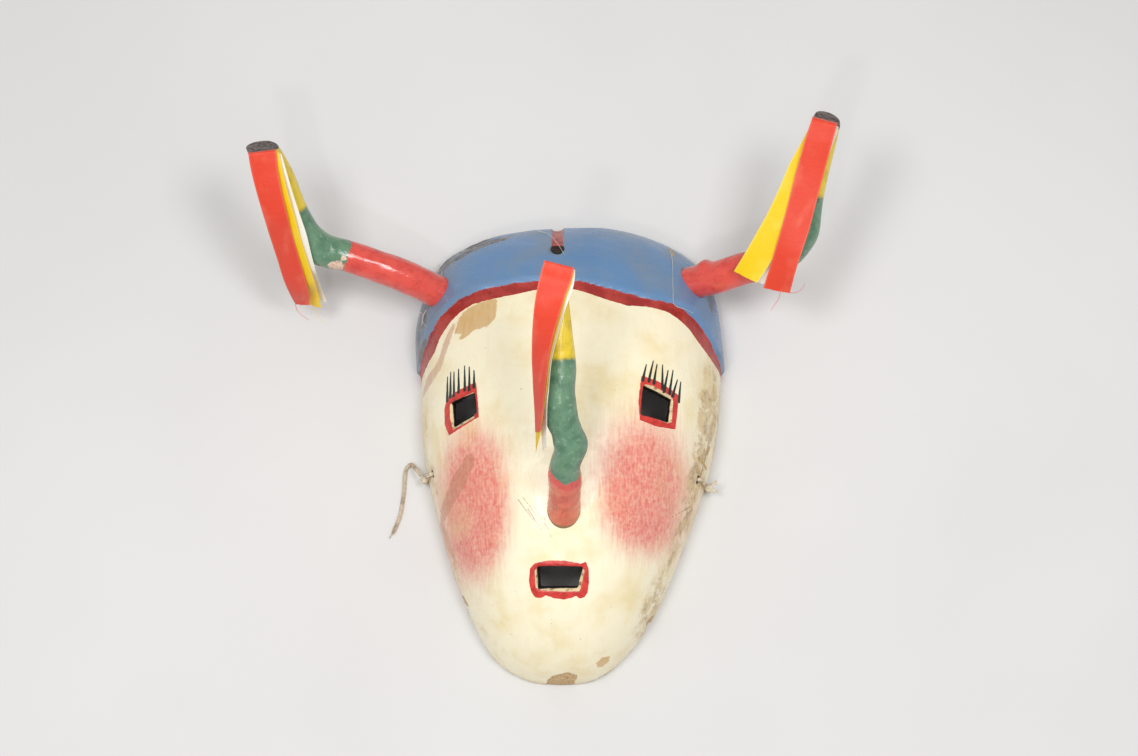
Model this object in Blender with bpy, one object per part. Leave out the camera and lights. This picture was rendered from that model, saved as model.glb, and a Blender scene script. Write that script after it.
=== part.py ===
"""Festival mask: a carved and painted wooden face with two branch horns, a branch for a nose,
three ribbons on the end of each branch, and the remains of a tie cord at both ears.

Metres, +Z up. The mask lies on its back: its flat rim is on the floor, the face looks up along +Z
and the top of the head points to +Y. The wearer's left side is at +X.
The last step moves everything so that the origin is on the floor under the middle of the box.
"""
import math

import bmesh
import bpy
import numpy as np
from mathutils import Vector

# Size of the carved face, without the cap's step
MASK_WIDTH = 0.168
MASK_HEIGHT = 0.256
MASK_DEPTH = 0.072
WALL = 0.0095
CAP_STEP = 0.0025

# Roundness of the dome: the profile is (1 - share of radius ** DOME_POWER) ** DOME_FALL
DOME_POWER = 2.4
DOME_FALL = 0.55
DOME_CENTRE_V = 0.02

# Fits; the ribbons of a stack lie a gap apart at the top and spread on the way down
CLEARANCE = 0.00035
RIBBON_GAP = 0.0003
RIBBON_SPREAD = 6.0

# Branches; the peg is what sits in the wall and behind it, and the socket reaches further out
LEFT_HORN_LENGTH = 0.130
RIGHT_HORN_LENGTH = 0.130
NOSE_LENGTH = 0.135
HORN_ROOT_RADIUS = 0.0092
HORN_TIP_RADIUS = 0.0076
NOSE_ROOT_RADIUS = 0.0088
NOSE_TIP_RADIUS = 0.0062
PEG_LENGTH = 0.014
SOCKET_REACH = 2.2

# Ribbons
RIBBON_WIDTH = 0.014
RIBBON_THICKNESS = 0.0005
RIBBON_LENGTH = 0.104

# Openings in the face; the flare is how far each side leans out for each metre of height.
# Cutters start and end this many wall thicknesses outside and inside the painted surface.
OPENING_FLARE = 0.10
TOP_HOLE_DIAMETER = 0.005
TOP_GROOVE_WIDTH = 0.0065
TOP_GROOVE_DEPTH = 0.0025
TOP_GROOVE_END_V = 0.525
EAR_HOLE_DIAMETER = 0.005
CUT_OUTSIDE = 1.0
CUT_INSIDE = 2.5

# Tie cord; the knot and the loop's bends lie at these shares of the ear hole's height
CORD_DIAMETER = 0.0022
CORD_STAND_OFF = 0.0005
KNOT_RADIUS = 0.0026
KNOT_HEIGHT = 0.52
LOOP_HEIGHTS_OUTSIDE = (0.78, 0.5, 0.25)
LOOP_HEIGHTS_INSIDE = (0.25, 0.5)
NOTCH_STAND_OFFS = 3
RIGHT_STUBS = [(1.73, 1.15, 0.19), (1.62, -0.92, -0.62)]

# Height over the floor, in degrees, of the direction that the ribbons' fronts face
FACING_HEIGHT = 73.7
FACING = Vector((0.0, -math.cos(math.radians(FACING_HEIGHT)), math.sin(math.radians(FACING_HEIGHT))))

# Rim of the face, clockwise from the top, as shares of the mask's width and height
RIM = [
    (0.012, 0.529), (0.155, 0.525), (0.298, 0.496), (0.417, 0.447), (0.476, 0.379),
    (0.500, 0.266), (0.500, 0.148), (0.470, 0.008), (0.411, -0.113), (0.345, -0.227),
    (0.280, -0.320), (0.202, -0.398), (0.095, -0.457), (-0.030, -0.471), (-0.149, -0.457),
    (-0.250, -0.408), (-0.327, -0.313), (-0.393, -0.195), (-0.446, -0.070), (-0.479, 0.039),
    (-0.488, 0.172), (-0.497, 0.313), (-0.429, 0.438), (-0.298, 0.498), (-0.155, 0.521),
]

# Lower edge of the cap, from the left side over the brow to the right side, in the same shares
CAP_EDGE = [
    (-0.62, 0.165), (-0.505, 0.195), (-0.476, 0.225), (-0.452, 0.254), (-0.429, 0.276),
    (-0.363, 0.315), (-0.262, 0.334), (-0.179, 0.342), (-0.095, 0.347), (0.012, 0.348),
    (0.119, 0.330), (0.226, 0.311), (0.327, 0.303), (0.393, 0.283), (0.446, 0.252),
    (0.482, 0.223), (0.512, 0.201), (0.62, 0.175),
]

# Corners of the cut openings at the painted side
LEFT_EYE = [(-0.379, 0.097), (-0.300, 0.103), (-0.293, 0.060), (-0.371, 0.038)]
RIGHT_EYE = [(0.236, 0.113), (0.329, 0.095), (0.320, 0.042), (0.225, 0.050)]
MOUTH = [(-0.099, -0.263), (0.043, -0.264), (0.028, -0.307), (-0.099, -0.307)]

TOP_HOLE = (-0.037, 0.430)
LEFT_EAR = (-0.443, -0.032)
RIGHT_EAR = (0.418, -0.049)

# Branch roots on the mask, and each branch's way out from its root as shares of its length
LEFT_HORN_ROOT = (-0.4315, 0.358)
LEFT_HORN_ROUTE = [
    (0.0, 0.0, 0.0), (-0.077, 0.023, 0.054), (-0.169, 0.050, 0.100), (-0.273, 0.077, 0.138),
    (-0.373, 0.104, 0.177), (-0.454, 0.127, 0.215), (-0.512, 0.177, 0.269),
    (-0.558, 0.250, 0.331), (-0.596, 0.327, 0.400), (-0.642, 0.392, 0.469),
    (-0.685, 0.442, 0.515),
]
RIGHT_HORN_ROOT = (0.411, 0.375)
RIGHT_HORN_ROUTE = [
    (0.0, 0.0, 0.0), (0.100, 0.0, 0.077), (0.200, 0.015, 0.138), (0.300, 0.023, 0.192),
    (0.381, 0.058, 0.246), (0.423, 0.131, 0.308), (0.450, 0.246, 0.385),
    (0.473, 0.354, 0.446), (0.496, 0.438, 0.485), (0.515, 0.512, 0.515),
]
NOSE_ROOT = (-0.0155, -0.150)
NOSE_ROUTE = [
    (0.0, 0.0, 0.0), (0.004, 0.044, 0.111), (0.007, 0.089, 0.215), (0.011, 0.137, 0.289),
    (0.011, 0.200, 0.348), (-0.004, 0.274, 0.400), (-0.011, 0.344, 0.444),
    (-0.007, 0.411, 0.481), (-0.011, 0.511, 0.533), (-0.019, 0.611, 0.585),
    (-0.026, 0.726, 0.637),
]

# Knots and swellings of each branch: share of its length, height as a share of its root radius,
# spread along it, direction
LEFT_HORN_KNOTS = [(0.56, 0.17, 0.07, (-0.4, -0.9, 0.0)), (0.62, 0.09, 0.05, (0.3, 0.2, 0.9))]
RIGHT_HORN_KNOTS = [(0.16, 0.24, 0.025, (0.0, 0.9, 0.4)), (0.60, 0.17, 0.06, (0.9, -0.3, 0.0))]
NOSE_KNOTS = [(0.37, 0.34, 0.05, (0.9, 0.1, 0.2)), (0.46, -0.14, 0.04, (-0.9, 0.0, 0.2)),
              (0.30, 0.14, 0.05, (-0.8, -0.2, 0.3))]

# Ribbons, from the back of each stack to its front: colour, and way down from the branch's tip
# as shares of the ribbon's length
LEFT_RIBBONS = [
    ("white", [(0.043, -0.135, -0.029), (0.091, -0.255, -0.183), (0.144, -0.375, -0.394),
               (0.192, -0.481, -0.625), (0.226, -0.563, -0.798)]),
    ("yellow", [(0.031, -0.138, -0.010), (0.072, -0.262, -0.154), (0.120, -0.387, -0.365),
                (0.159, -0.500, -0.596), (0.194, -0.588, -0.779)]),
    ("red", [(0.012, -0.139, 0.010), (0.039, -0.266, -0.125), (0.075, -0.394, -0.327),
             (0.103, -0.513, -0.558), (0.136, -0.600, -0.731)]),
]
RIGHT_RIBBONS = [
    ("white", [(-0.074, -0.135, -0.010), (-0.141, -0.317, -0.077), (-0.210, -0.488, -0.173),
               (-0.269, -0.630, -0.298), (-0.298, -0.707, -0.462)]),
    ("yellow", [(-0.096, -0.143, 0.010), (-0.178, -0.313, -0.048), (-0.255, -0.462, -0.125),
                (-0.327, -0.596, -0.231), (-0.380, -0.678, -0.365)]),
    ("red", [(-0.053, -0.135, 0.038), (-0.098, -0.322, -0.019), (-0.142, -0.500, -0.096),
             (-0.188, -0.663, -0.202), (-0.216, -0.760, -0.365)]),
]
NOSE_RIBBONS = [
    ("white", [(-0.014, -0.058, 0.010), (-0.038, -0.168, -0.115), (-0.062, -0.293, -0.269),
               (-0.077, -0.452, -0.481), (-0.077, -0.635, -0.721)]),
    ("yellow", [(-0.021, -0.058, 0.019), (-0.050, -0.169, -0.096), (-0.077, -0.298, -0.250),
                (-0.094, -0.457, -0.462), (-0.096, -0.630, -0.692)]),
    ("red", [(-0.029, -0.057, 0.029), (-0.062, -0.171, -0.087), (-0.091, -0.302, -0.231),
             (-0.111, -0.460, -0.433), (-0.111, -0.606, -0.625)]),
]

# How far each stack turns about its own length on the way down, in degrees
LEFT_TURN = -48
RIGHT_TURN = 10
NOSE_TURN = -70

# Free end of the left tie cord: x and y from the knot, height of its middle over the floor
LEFT_TAIL = [
    (-0.0018, 0.0026, 0.0092), (-0.0043, 0.0060, 0.0068), (-0.0064, 0.0092, 0.0038),
    (-0.0080, 0.0104, 0.0020), (-0.0096, 0.0094, 0.00125), (-0.0106, 0.0066, 0.00115),
    (-0.0110, 0.0028, 0.00115), (-0.0112, -0.0012, 0.00115), (-0.0114, -0.0052, 0.00115),
    (-0.0118, -0.0092, 0.00115), (-0.0123, -0.0132, 0.00115), (-0.0130, -0.0172, 0.00115),
    (-0.0140, -0.0208, 0.00115), (-0.0152, -0.0242, 0.00115), (-0.0166, -0.0274, 0.00115),
]

# Places where wood has broken from the rim: x and y shares, then height and size in walls
RIM_CHIPS = [
    ("chin_side_chip", (0.262, -0.348), 0.21, 0.44),
    ("chin_chip", (0.104, -0.452), 0.0, 0.34),
    ("cap_corner_chip", (0.412, 0.462), 1.05, 0.53),
    ("cap_corner_small_chip", (0.372, 0.486), 0.63, 0.34),
    ("right_ear_chip", (0.462, -0.004), 0.42, 0.32),
]
CHIP_ROUGHNESS = 0.16

# Fineness of the meshes
DOME_SECTORS = 72
DOME_RINGS = 15
HOLLOW_SECTORS = 56
HOLLOW_RINGS = 11
BRANCH_SIDES = 14
BRANCH_RINGS = 24
HOLE_SIDES = 14
RIBBON_STATIONS = 19
CORD_SIDES = 8
CORD_POINTS = 14
SMOOTH_ANGLE = 40

# Ribbons are moved off their branch in rounds, each push shared with this many stations
PUSH_REACH = 5
SETTLE_ROUNDS = 3

# Forms to be cut at the floor reach this far below it; the rim is drawn this much lower
SKIRT = 0.010
RIM_DIP = 0.0006


def clear_scene():
    for thing in list(bpy.data.objects):
        bpy.data.objects.remove(thing, do_unlink=True)


def material(name, colour, roughness, metallic=0.0):
    made = bpy.data.materials.get(name) or bpy.data.materials.new(name)
    made.use_nodes = True
    shader = made.node_tree.nodes["Principled BSDF"]
    shader.inputs["Base Color"].default_value = (*colour, 1.0)
    shader.inputs["Roughness"].default_value = roughness
    shader.inputs["Metallic"].default_value = metallic
    return made


def add_object(name, mesh, finish, parent):
    thing = bpy.data.objects.new(name, mesh)
    bpy.context.collection.objects.link(thing)
    thing.parent = parent
    if finish:
        mesh.materials.append(finish)
    return thing


def mesh_from(name, verts, faces, smooth=True):
    """One closed mesh whose faces point out."""
    mesh = bpy.data.meshes.new(name)
    mesh.from_pydata([tuple(v) for v in verts], [], faces)
    shape = bmesh.new()
    shape.from_mesh(mesh)
    bmesh.ops.recalc_face_normals(shape, faces=shape.faces)
    shape.to_mesh(mesh)
    shape.free()
    if smooth:
        mesh.shade_smooth()
        mesh.set_sharp_from_angle(angle=math.radians(SMOOTH_ANGLE))
    return mesh


def cutter(name, mesh, parent):
    """A guide that only shapes other objects."""
    thing = add_object(name, mesh, None, parent)
    thing.hide_render = True
    thing.display_type = "WIRE"
    return thing


def combine(target, other, operation):
    step = target.modifiers.new(f"{operation.lower()} {other.name}", "BOOLEAN")
    step.operation = operation
    step.solver = "EXACT"
    step.object = other


def catmull_rom(a, b, c, d, t):
    return 0.5 * ((2 * b) + (c - a) * t + (2 * a - 5 * b + 4 * c - d) * t ** 2
                  + (3 * b - a - 3 * c + d) * t ** 3)


def smooth_points(points, per_span, closed=False):
    """Points along a smooth curve through the given ones."""
    count = len(points)
    spans = count if closed else count - 1
    made = []
    for i in range(spans):
        if closed:
            a, b, c, d = (points[(i + k) % count] for k in (-1, 0, 1, 2))
        else:
            a, b, c, d = (points[min(max(i + k, 0), count - 1)] for k in (-1, 0, 1, 2))
        made += [catmull_rom(a, b, c, d, step / per_span) for step in range(per_span)]
    if not closed:
        made.append(points[-1].copy())
    return made


def evenly(points, count):
    """The same curve with a set number of evenly spaced points."""
    dense = np.array([tuple(p) for p in smooth_points(points, 24)])
    lengths = np.linalg.norm(np.diff(dense, axis=0), axis=1)
    along = np.concatenate([[0.0], np.cumsum(lengths)])
    wanted = np.linspace(0.0, along[-1], count)
    columns = [np.interp(wanted, along, dense[:, axis]) for axis in range(3)]
    return [Vector(row) for row in zip(*columns)]


def place(shares):
    """A plan position from shares of the mask's width and height."""
    return Vector((shares[0] * MASK_WIDTH, shares[1] * MASK_HEIGHT, 0.0))


def rim_table():
    """Radius of the rim around the dome's centre, by angle."""
    centre = place((0.0, DOME_CENTRE_V))
    arms = [p - centre for p in smooth_points([place(p) for p in RIM], 12, closed=True)]
    rows = sorted((math.atan2(arm.y, arm.x), arm.length) for arm in arms)
    return np.array([r[0] for r in rows]), np.array([r[1] for r in rows])


RIM_ANGLES, RIM_RADII = rim_table()
CENTRE = place((0.0, DOME_CENTRE_V))


def rim_radius(angle):
    return float(np.interp(angle, RIM_ANGLES, RIM_RADII, period=2 * math.pi))


def dome_point(angle, slope, inset):
    """A point of the dome that lies inset inside the face: slope 0 is its top, pi / 2 its rim."""
    radius = (rim_radius(angle) - inset) * math.sin(slope) ** (2 / DOME_POWER)
    height = (MASK_DEPTH - inset) * max(math.cos(slope), 0.0) ** (2 * DOME_FALL)
    return CENTRE + Vector((radius * math.cos(angle), radius * math.sin(angle), height))


def slope_at(angle, radius, inset):
    share = min(radius / (rim_radius(angle) - inset), 1.0)
    return math.asin(share ** (DOME_POWER / 2))


def on_dome(shares, inset=0.0):
    """The dome's point and outward normal over a plan position."""
    arm = place(shares) - CENTRE
    angle = math.atan2(arm.y, arm.x)
    slope = slope_at(angle, arm.length, inset)
    step = 0.01
    point = dome_point(angle, slope, inset)
    inwards = dome_point(angle, slope - step, inset) - dome_point(angle, slope + step, inset)
    sideways = dome_point(angle + step, slope, inset) - dome_point(angle - step, slope, inset)
    return point, sideways.cross(inwards).normalized()


def dome_mesh(name, inset, sectors, rings, skirt):
    """A solid under the dome, with straight sides that reach below the floor."""
    verts = [CENTRE + Vector((0.0, 0.0, MASK_DEPTH - inset))]
    faces = []
    angles = [2 * math.pi * k / sectors for k in range(sectors)]
    for ring in range(1, rings + 1):
        slope = 0.5 * math.pi * ring / rings
        verts += [dome_point(angle, slope, inset) for angle in angles]
    verts[-sectors:] = [v - Vector((0.0, 0.0, RIM_DIP)) for v in verts[-sectors:]]
    verts += [v - Vector((0.0, 0.0, skirt)) for v in verts[-sectors:]]
    for k in range(sectors):
        after = (k + 1) % sectors
        faces.append((0, 1 + k, 1 + after))
        for ring in range(rings):
            low = 1 + ring * sectors
            high = low + sectors
            faces.append((low + k, high + k, high + after, low + after))
    last = 1 + rings * sectors
    faces.append(tuple(last + k for k in range(sectors)))
    return mesh_from(name, verts, faces)


def prism_mesh(name, outline, low, high, low_scale=1.0, high_scale=1.0):
    """A closed plan outline run from one height to another, with its own scale at each end."""
    middle = sum(outline, Vector((0.0, 0.0, 0.0))) / len(outline)
    count = len(outline)
    verts = []
    for height, scale in ((low, low_scale), (high, high_scale)):
        for point in outline:
            spread = middle + (point - middle) * scale
            verts.append((spread.x, spread.y, height))
    faces = [tuple(range(count)), tuple(range(count, 2 * count))]
    for k in range(count):
        after = (k + 1) % count
        faces.append((k, after, count + after, count + k))
    return mesh_from(name, verts, faces, smooth=False)


def frames_along(centres):
    """Tangent and two cross directions at each centre, without a twist."""
    frames = []
    normal = None
    for i, centre in enumerate(centres):
        before = centres[max(i - 1, 0)]
        after = centres[min(i + 1, len(centres) - 1)]
        tangent = (after - before).normalized()
        if normal is None:
            normal = tangent.orthogonal()
        normal = (normal - tangent * normal.dot(tangent)).normalized()
        frames.append((tangent, normal, tangent.cross(normal)))
    return frames


def tube_mesh(name, centres, radii, sides, closed=False, shape=None):
    """A round bar along the centres; shape may add to the radius by place and direction."""
    verts = []
    count = len(centres)
    if closed:
        around = centres[-3:] + centres + centres[:3]
        frames = frames_along(around)[3:-3]
    else:
        frames = frames_along(centres)
    for i, (centre, radius, frame) in enumerate(zip(centres, radii, frames)):
        tangent, across, up = frame
        for k in range(sides):
            angle = 2 * math.pi * k / sides
            out = across * math.cos(angle) + up * math.sin(angle)
            extra = shape(i / (count - 1), out) if shape else 0.0
            verts.append(centre + out * (radius + extra))
    faces = []
    for i in range(count if closed else count - 1):
        low = i * sides
        high = ((i + 1) % count) * sides
        for k in range(sides):
            after = (k + 1) % sides
            faces.append((low + k, low + after, high + after, high + k))
    if not closed:
        faces.append(tuple(range(sides)))
        faces.append(tuple(range((count - 1) * sides, count * sides)))
    return mesh_from(name, verts, faces)


def ellipsoid_mesh(name, centre, radii, detail):
    shape = bmesh.new()
    bmesh.ops.create_icosphere(shape, subdivisions=detail, radius=1.0)
    bmesh.ops.scale(shape, vec=radii, verts=shape.verts)
    bmesh.ops.translate(shape, vec=centre, verts=shape.verts)
    mesh = bpy.data.meshes.new(name)
    shape.to_mesh(mesh)
    shape.free()
    mesh.shade_smooth()
    return mesh


class Branch:
    """A cut branch that goes through the mask's wall and ends in a flat sawn face."""

    def __init__(self, name, root, inset, route, length, root_radius, tip_radius, knots):
        self.name = name
        self.knots = [(share, height * root_radius, spread, Vector(way).normalized())
                      for share, height, spread, way in knots]
        self.root = on_dome(root, inset)[0]
        start = self.root - Vector(route[1]).normalized() * PEG_LENGTH
        points = [start] + [self.root + Vector(step) * length for step in route]
        self.centres = evenly(points, BRANCH_RINGS)
        self.radii = [root_radius + (tip_radius - root_radius) * i / (BRANCH_RINGS - 1)
                      for i in range(BRANCH_RINGS)]
        self.ways = [frame[0] for frame in frames_along(self.centres)]
        self.spacing = (self.centres[1] - self.centres[0]).length
        self.tip = self.centres[-1]
        self.tip_way = self.ways[-1]

    def swelling(self, share, out):
        total = 0.0
        for middle, height, spread, way in self.knots:
            near = math.exp(-((share - middle) / spread) ** 2)
            total += height * near * max(out.dot(way), 0.0) ** 2
        return total

    def build(self, finish, parent):
        mesh = tube_mesh(self.name, self.centres, self.radii, BRANCH_SIDES, shape=self.swelling)
        return add_object(self.name, mesh, finish, parent)

    def socket(self, parent):
        """The hole that the branch needs: its own form, wider by the clearance."""
        far = SOCKET_REACH * PEG_LENGTH
        reach = max(3, sum(1 for c in self.centres if (c - self.root).length < far))
        centres = self.centres[:reach]
        behind = centres[0] - (centres[1] - centres[0]).normalized() * PEG_LENGTH
        radii = [radius + CLEARANCE for radius in self.radii[:reach]]
        last = BRANCH_RINGS - 1

        def swelling(share, out):
            return self.swelling((share * reach - 1) / last, out)

        mesh = tube_mesh(f"{self.name}_socket", [behind] + centres, [radii[0]] + radii,
                         BRANCH_SIDES, shape=swelling)
        return cutter(f"{self.name}_socket", mesh, parent)


def ribbon_frame(centres, turn):
    """Side and face direction of a ribbon whose far end is turned by some degrees."""
    made = []
    count = len(centres)
    for i, (tangent, _, _) in enumerate(frames_along(centres)):
        share = i / (count - 1)
        angle = math.radians(turn) * share * share * (3 - 2 * share)
        side = FACING.cross(tangent).normalized()
        face = tangent.cross(side)
        made.append((side * math.cos(angle) - face * math.sin(angle),
                     face * math.cos(angle) + side * math.sin(angle)))
    return made


def push_off(branch, centre, side, face, lift):
    """How far a ribbon's cross line moves along its face to clear the branch behind it."""
    needed = 0.0
    for share in (-0.5, -0.25, 0.0, 0.25, 0.5):
        edge = centre + side * (share * RIBBON_WIDTH)
        for i, middle in enumerate(branch.centres):
            tangent = branch.ways[i]
            arm = edge - middle
            if abs(arm.dot(tangent)) > branch.spacing:
                continue
            arm -= tangent * arm.dot(tangent)
            radius = branch.radii[i] + branch.swelling(i / (BRANCH_RINGS - 1), arm.normalized())
            short = (radius + lift) ** 2 - arm.length_squared
            if short > 0.0:
                way = face - tangent * face.dot(tangent)
                along = arm.dot(way) / way.length_squared
                needed = max(needed, math.sqrt(along ** 2 + short / way.length_squared) - along)
    return needed


def settle(branch, centres, turn, lift, behind):
    """Move a ribbon's line along its face until it clears its branch and the ribbon behind it."""
    last = RIBBON_STATIONS - 1
    for _ in range(SETTLE_ROUNDS):
        frames = ribbon_frame(centres, turn)
        pushes = [push_off(branch, c, side, face, lift) for c, (side, face) in zip(centres, frames)]
        for i, (side, face) in enumerate(frames):
            near = [push * (1 - abs(i - j) / PUSH_REACH) for j, push in enumerate(pushes)
                    if abs(i - j) < PUSH_REACH]
            centres[i] = centres[i] + face * max(near) * min(1.0, i / 2)
            if behind:
                layer = RIBBON_THICKNESS + RIBBON_GAP * (1.0 + RIBBON_SPREAD * min(1.0, 2 * i / last))
                short = layer - (centres[i] - behind[i]).dot(face)
                centres[i] = centres[i] + face * max(short, 0.0)
    return centres


def ribbon_mesh(name, centres, turn):
    verts = []
    for centre, (side, face) in zip(centres, ribbon_frame(centres, turn)):
        half = side * RIBBON_WIDTH / 2
        thick = face * RIBBON_THICKNESS / 2
        verts += [centre - half - thick, centre + half - thick,
                  centre + half + thick, centre - half + thick]
    faces = [(0, 1, 2, 3), tuple(4 * (RIBBON_STATIONS - 1) + k for k in range(4))]
    for i in range(RIBBON_STATIONS - 1):
        # Both wide faces are split along the same diagonal, so a twist keeps the thickness
        back_left, back_right, front_right, front_left = range(4 * i, 4 * i + 4)
        faces += [(back_left, back_right, back_right + 4), (back_left, back_right + 4, back_left + 4)]
        faces += [(front_right, front_left, front_right + 4),
                  (front_left, front_left + 4, front_right + 4)]
        faces += [(back_right, front_right, front_right + 4), (back_right, front_right + 4, back_right + 4)]
        faces += [(front_left, back_left, back_left + 4), (front_left, back_left + 4, front_left + 4)]
    return mesh_from(name, verts, faces)


def ribbon_stack(branch, ribbons, turn, finishes, parent):
    """Satin ribbons that start flat on the branch's end, one on the other, and hang from there."""
    front = (FACING - branch.tip_way * FACING.dot(branch.tip_way)).normalized()
    made = []
    behind = None
    for layer, (colour, route) in enumerate(ribbons):
        lift = RIBBON_GAP + 0.5 * RIBBON_THICKNESS + layer * (RIBBON_THICKNESS + RIBBON_GAP)
        start = branch.tip + front * (branch.radii[-1] + lift)
        points = [start] + [branch.tip + Vector(step) * RIBBON_LENGTH for step in route]
        centres = settle(branch, evenly(points, RIBBON_STATIONS), turn, lift + RIBBON_GAP, behind)
        name = f"{branch.name.replace('_horn', '')}_{colour}_ribbon"
        made.append(add_object(name, ribbon_mesh(name, centres, turn), finishes[colour], parent))
        behind = centres
    return made


class EarTie:
    """What is left of the tie cord: a loop through the ear hole and round the rim, and its knot."""

    def __init__(self, side, shares):
        self.side = side
        self.point, self.normal = on_dome(shares)
        arm = self.point - CENTRE
        self.angle = math.atan2(arm.y, arm.x)
        self.out = Vector((math.cos(self.angle), math.sin(self.angle), 0.0))
        self.radius = CORD_DIAMETER / 2
        self.stand_off = self.radius + CORD_STAND_OFF
        self.knot = self.wall_point(KNOT_HEIGHT, self.stand_off + 0.6 * KNOT_RADIUS)

    def wall_point(self, share, stand_off, inset=0.0):
        """Beside the wall, at a share of the hole's height, this far from the surface."""
        height = self.point.z * share
        top = MASK_DEPTH - inset
        slope = math.acos((height / top) ** (1 / (2 * DOME_FALL)))
        return dome_point(self.angle, slope, inset) + self.out * stand_off

    def loop_points(self):
        """Down the outside from the hole, under the rim, up the inside and through the hole."""
        outside = [self.wall_point(share, self.stand_off) for share in LOOP_HEIGHTS_OUTSIDE]
        inside = [self.wall_point(share, -self.stand_off, WALL) for share in LOOP_HEIGHTS_INSIDE]
        corner_out = dome_point(self.angle, math.pi / 2, 0.0) + self.out * 0.6 * self.stand_off
        corner_in = dome_point(self.angle, math.pi / 2, WALL) - self.out * 0.6 * self.stand_off
        for corner in (corner_out, corner_in):
            corner.z = self.radius + 1.2 * CORD_STAND_OFF
        mouth_out = self.point + self.normal * 1.2 * self.stand_off
        mouth_in = self.point - self.normal * (WALL + 1.4 * self.stand_off)
        middle = self.point - self.normal * WALL / 2
        return [mouth_out, *outside, corner_out, corner_in, *inside, mouth_in, middle]

    def hole(self, parent):
        return round_hole(f"{self.side}_ear_hole", self.point, self.normal, EAR_HOLE_DIAMETER, parent)

    def notch(self, parent):
        """Worn place in the rim, where the loop passes under it."""
        start = CENTRE + self.out * (rim_radius(self.angle) - CUT_INSIDE * WALL)
        end = CENTRE + self.out * (rim_radius(self.angle) + CUT_OUTSIDE * WALL)
        radii = [self.radius + NOTCH_STAND_OFFS * CORD_STAND_OFF] * 2
        mesh = tube_mesh(f"{self.side}_rim_notch", [start, end], radii, HOLE_SIDES)
        thing = cutter(f"{self.side}_rim_notch", mesh, parent)
        thing.location.z = self.radius
        return thing

    def build(self, finish, parent, stubs):
        """The loop and its knot, with cut ends that leave the knot as told in knot radii."""
        name = f"{self.side}_tie_loop"
        centres = smooth_points(self.loop_points(), 3, closed=True)
        mesh = tube_mesh(name, centres, [self.radius] * len(centres), CORD_SIDES, closed=True)
        thing = add_object(name, mesh, finish, parent)
        knot_radii = (KNOT_RADIUS, 1.1 * KNOT_RADIUS, 0.9 * KNOT_RADIUS)
        knot = ellipsoid_mesh(f"{self.side}_knot_form", self.knot, knot_radii, 2)
        combine(thing, cutter(f"{self.side}_knot_form", knot, parent), "UNION")
        for number, way in enumerate(stubs):
            ends = [self.knot, self.knot + Vector(way) * KNOT_RADIUS]
            stub = tube_mesh(f"{self.side}_stub_{number}", ends, [0.92 * self.radius] * 2, CORD_SIDES)
            combine(thing, cutter(f"{self.side}_stub_{number}", stub, parent), "UNION")
        return thing


def tail_cord(tie, finish, parent):
    """The free end of the cord, which drops from the knot and lies on the floor."""
    points = []
    for x, y, height in LEFT_TAIL:
        points.append(Vector((tie.knot.x + x, tie.knot.y + y, height)))
    route = evenly(points, CORD_POINTS)
    curve = bpy.data.curves.new("left_tie_cord", "CURVE")
    curve.dimensions = "3D"
    curve.bevel_depth = CORD_DIAMETER / 2
    curve.bevel_resolution = 2
    curve.use_fill_caps = True
    line = curve.splines.new("POLY")
    line.points.add(len(route) - 1)
    for point, position in zip(line.points, route):
        point.co = (*position, 1.0)
    curve.materials.append(finish)
    thing = bpy.data.objects.new("left_tie_cord", curve)
    bpy.context.collection.objects.link(thing)
    thing.parent = parent
    return thing


def cap_region(parent):
    """Everything above the cap's lower edge, seen in plan."""
    edge = smooth_points([place(p) for p in CAP_EDGE], 3)
    above = [Vector((edge[-1].x, MASK_HEIGHT, 0.0)), Vector((edge[0].x, MASK_HEIGHT, 0.0))]
    mesh = prism_mesh("cap_region", edge + above, -3 * SKIRT, 2 * MASK_DEPTH)
    return cutter("cap_region", mesh, parent)


def opening(name, corners, parent):
    """An opening cut straight down through the wall, a little wider at the painted side."""
    heights = [on_dome(corner)[0].z for corner in corners]
    outline = [place(corner) for corner in corners]
    middle = sum(outline, Vector((0.0, 0.0, 0.0))) / len(outline)
    reach = sum((point - middle).length for point in outline) / len(outline)
    level = sum(heights) / len(heights)
    high = max(heights) + CUT_OUTSIDE * WALL
    low = min(heights) - CUT_INSIDE * WALL
    mesh = prism_mesh(name, outline, low, high,
                      1.0 - OPENING_FLARE * (level - low) / reach,
                      1.0 + OPENING_FLARE * (high - level) / reach)
    return cutter(name, mesh, parent)


def top_groove(parent):
    """The groove from the hanging hole over the cap's upper edge."""
    radius = TOP_GROOVE_WIDTH ** 2 / (8 * TOP_GROOVE_DEPTH) + TOP_GROOVE_DEPTH / 2
    lift = radius - TOP_GROOVE_DEPTH
    points = []
    for v in np.linspace(TOP_HOLE[1], TOP_GROOVE_END_V, 5):
        point, normal = on_dome((TOP_HOLE[0], float(v)), -CAP_STEP)
        points.append(point + normal * lift)
    points.append(points[-1] - Vector((0.0, 0.0, CUT_INSIDE * WALL)))
    centres = evenly(points, HOLE_SIDES)
    mesh = tube_mesh("top_groove", centres, [radius] * len(centres), HOLE_SIDES)
    return cutter("top_groove", mesh, parent)


def round_hole(name, point, normal, diameter, parent):
    """A round hole through the wall, square to the painted surface."""
    ends = [point + normal * CUT_OUTSIDE * WALL, point - normal * CUT_INSIDE * WALL]
    mesh = tube_mesh(name, ends, [diameter / 2] * 2, HOLE_SIDES)
    return cutter(name, mesh, parent)


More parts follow.
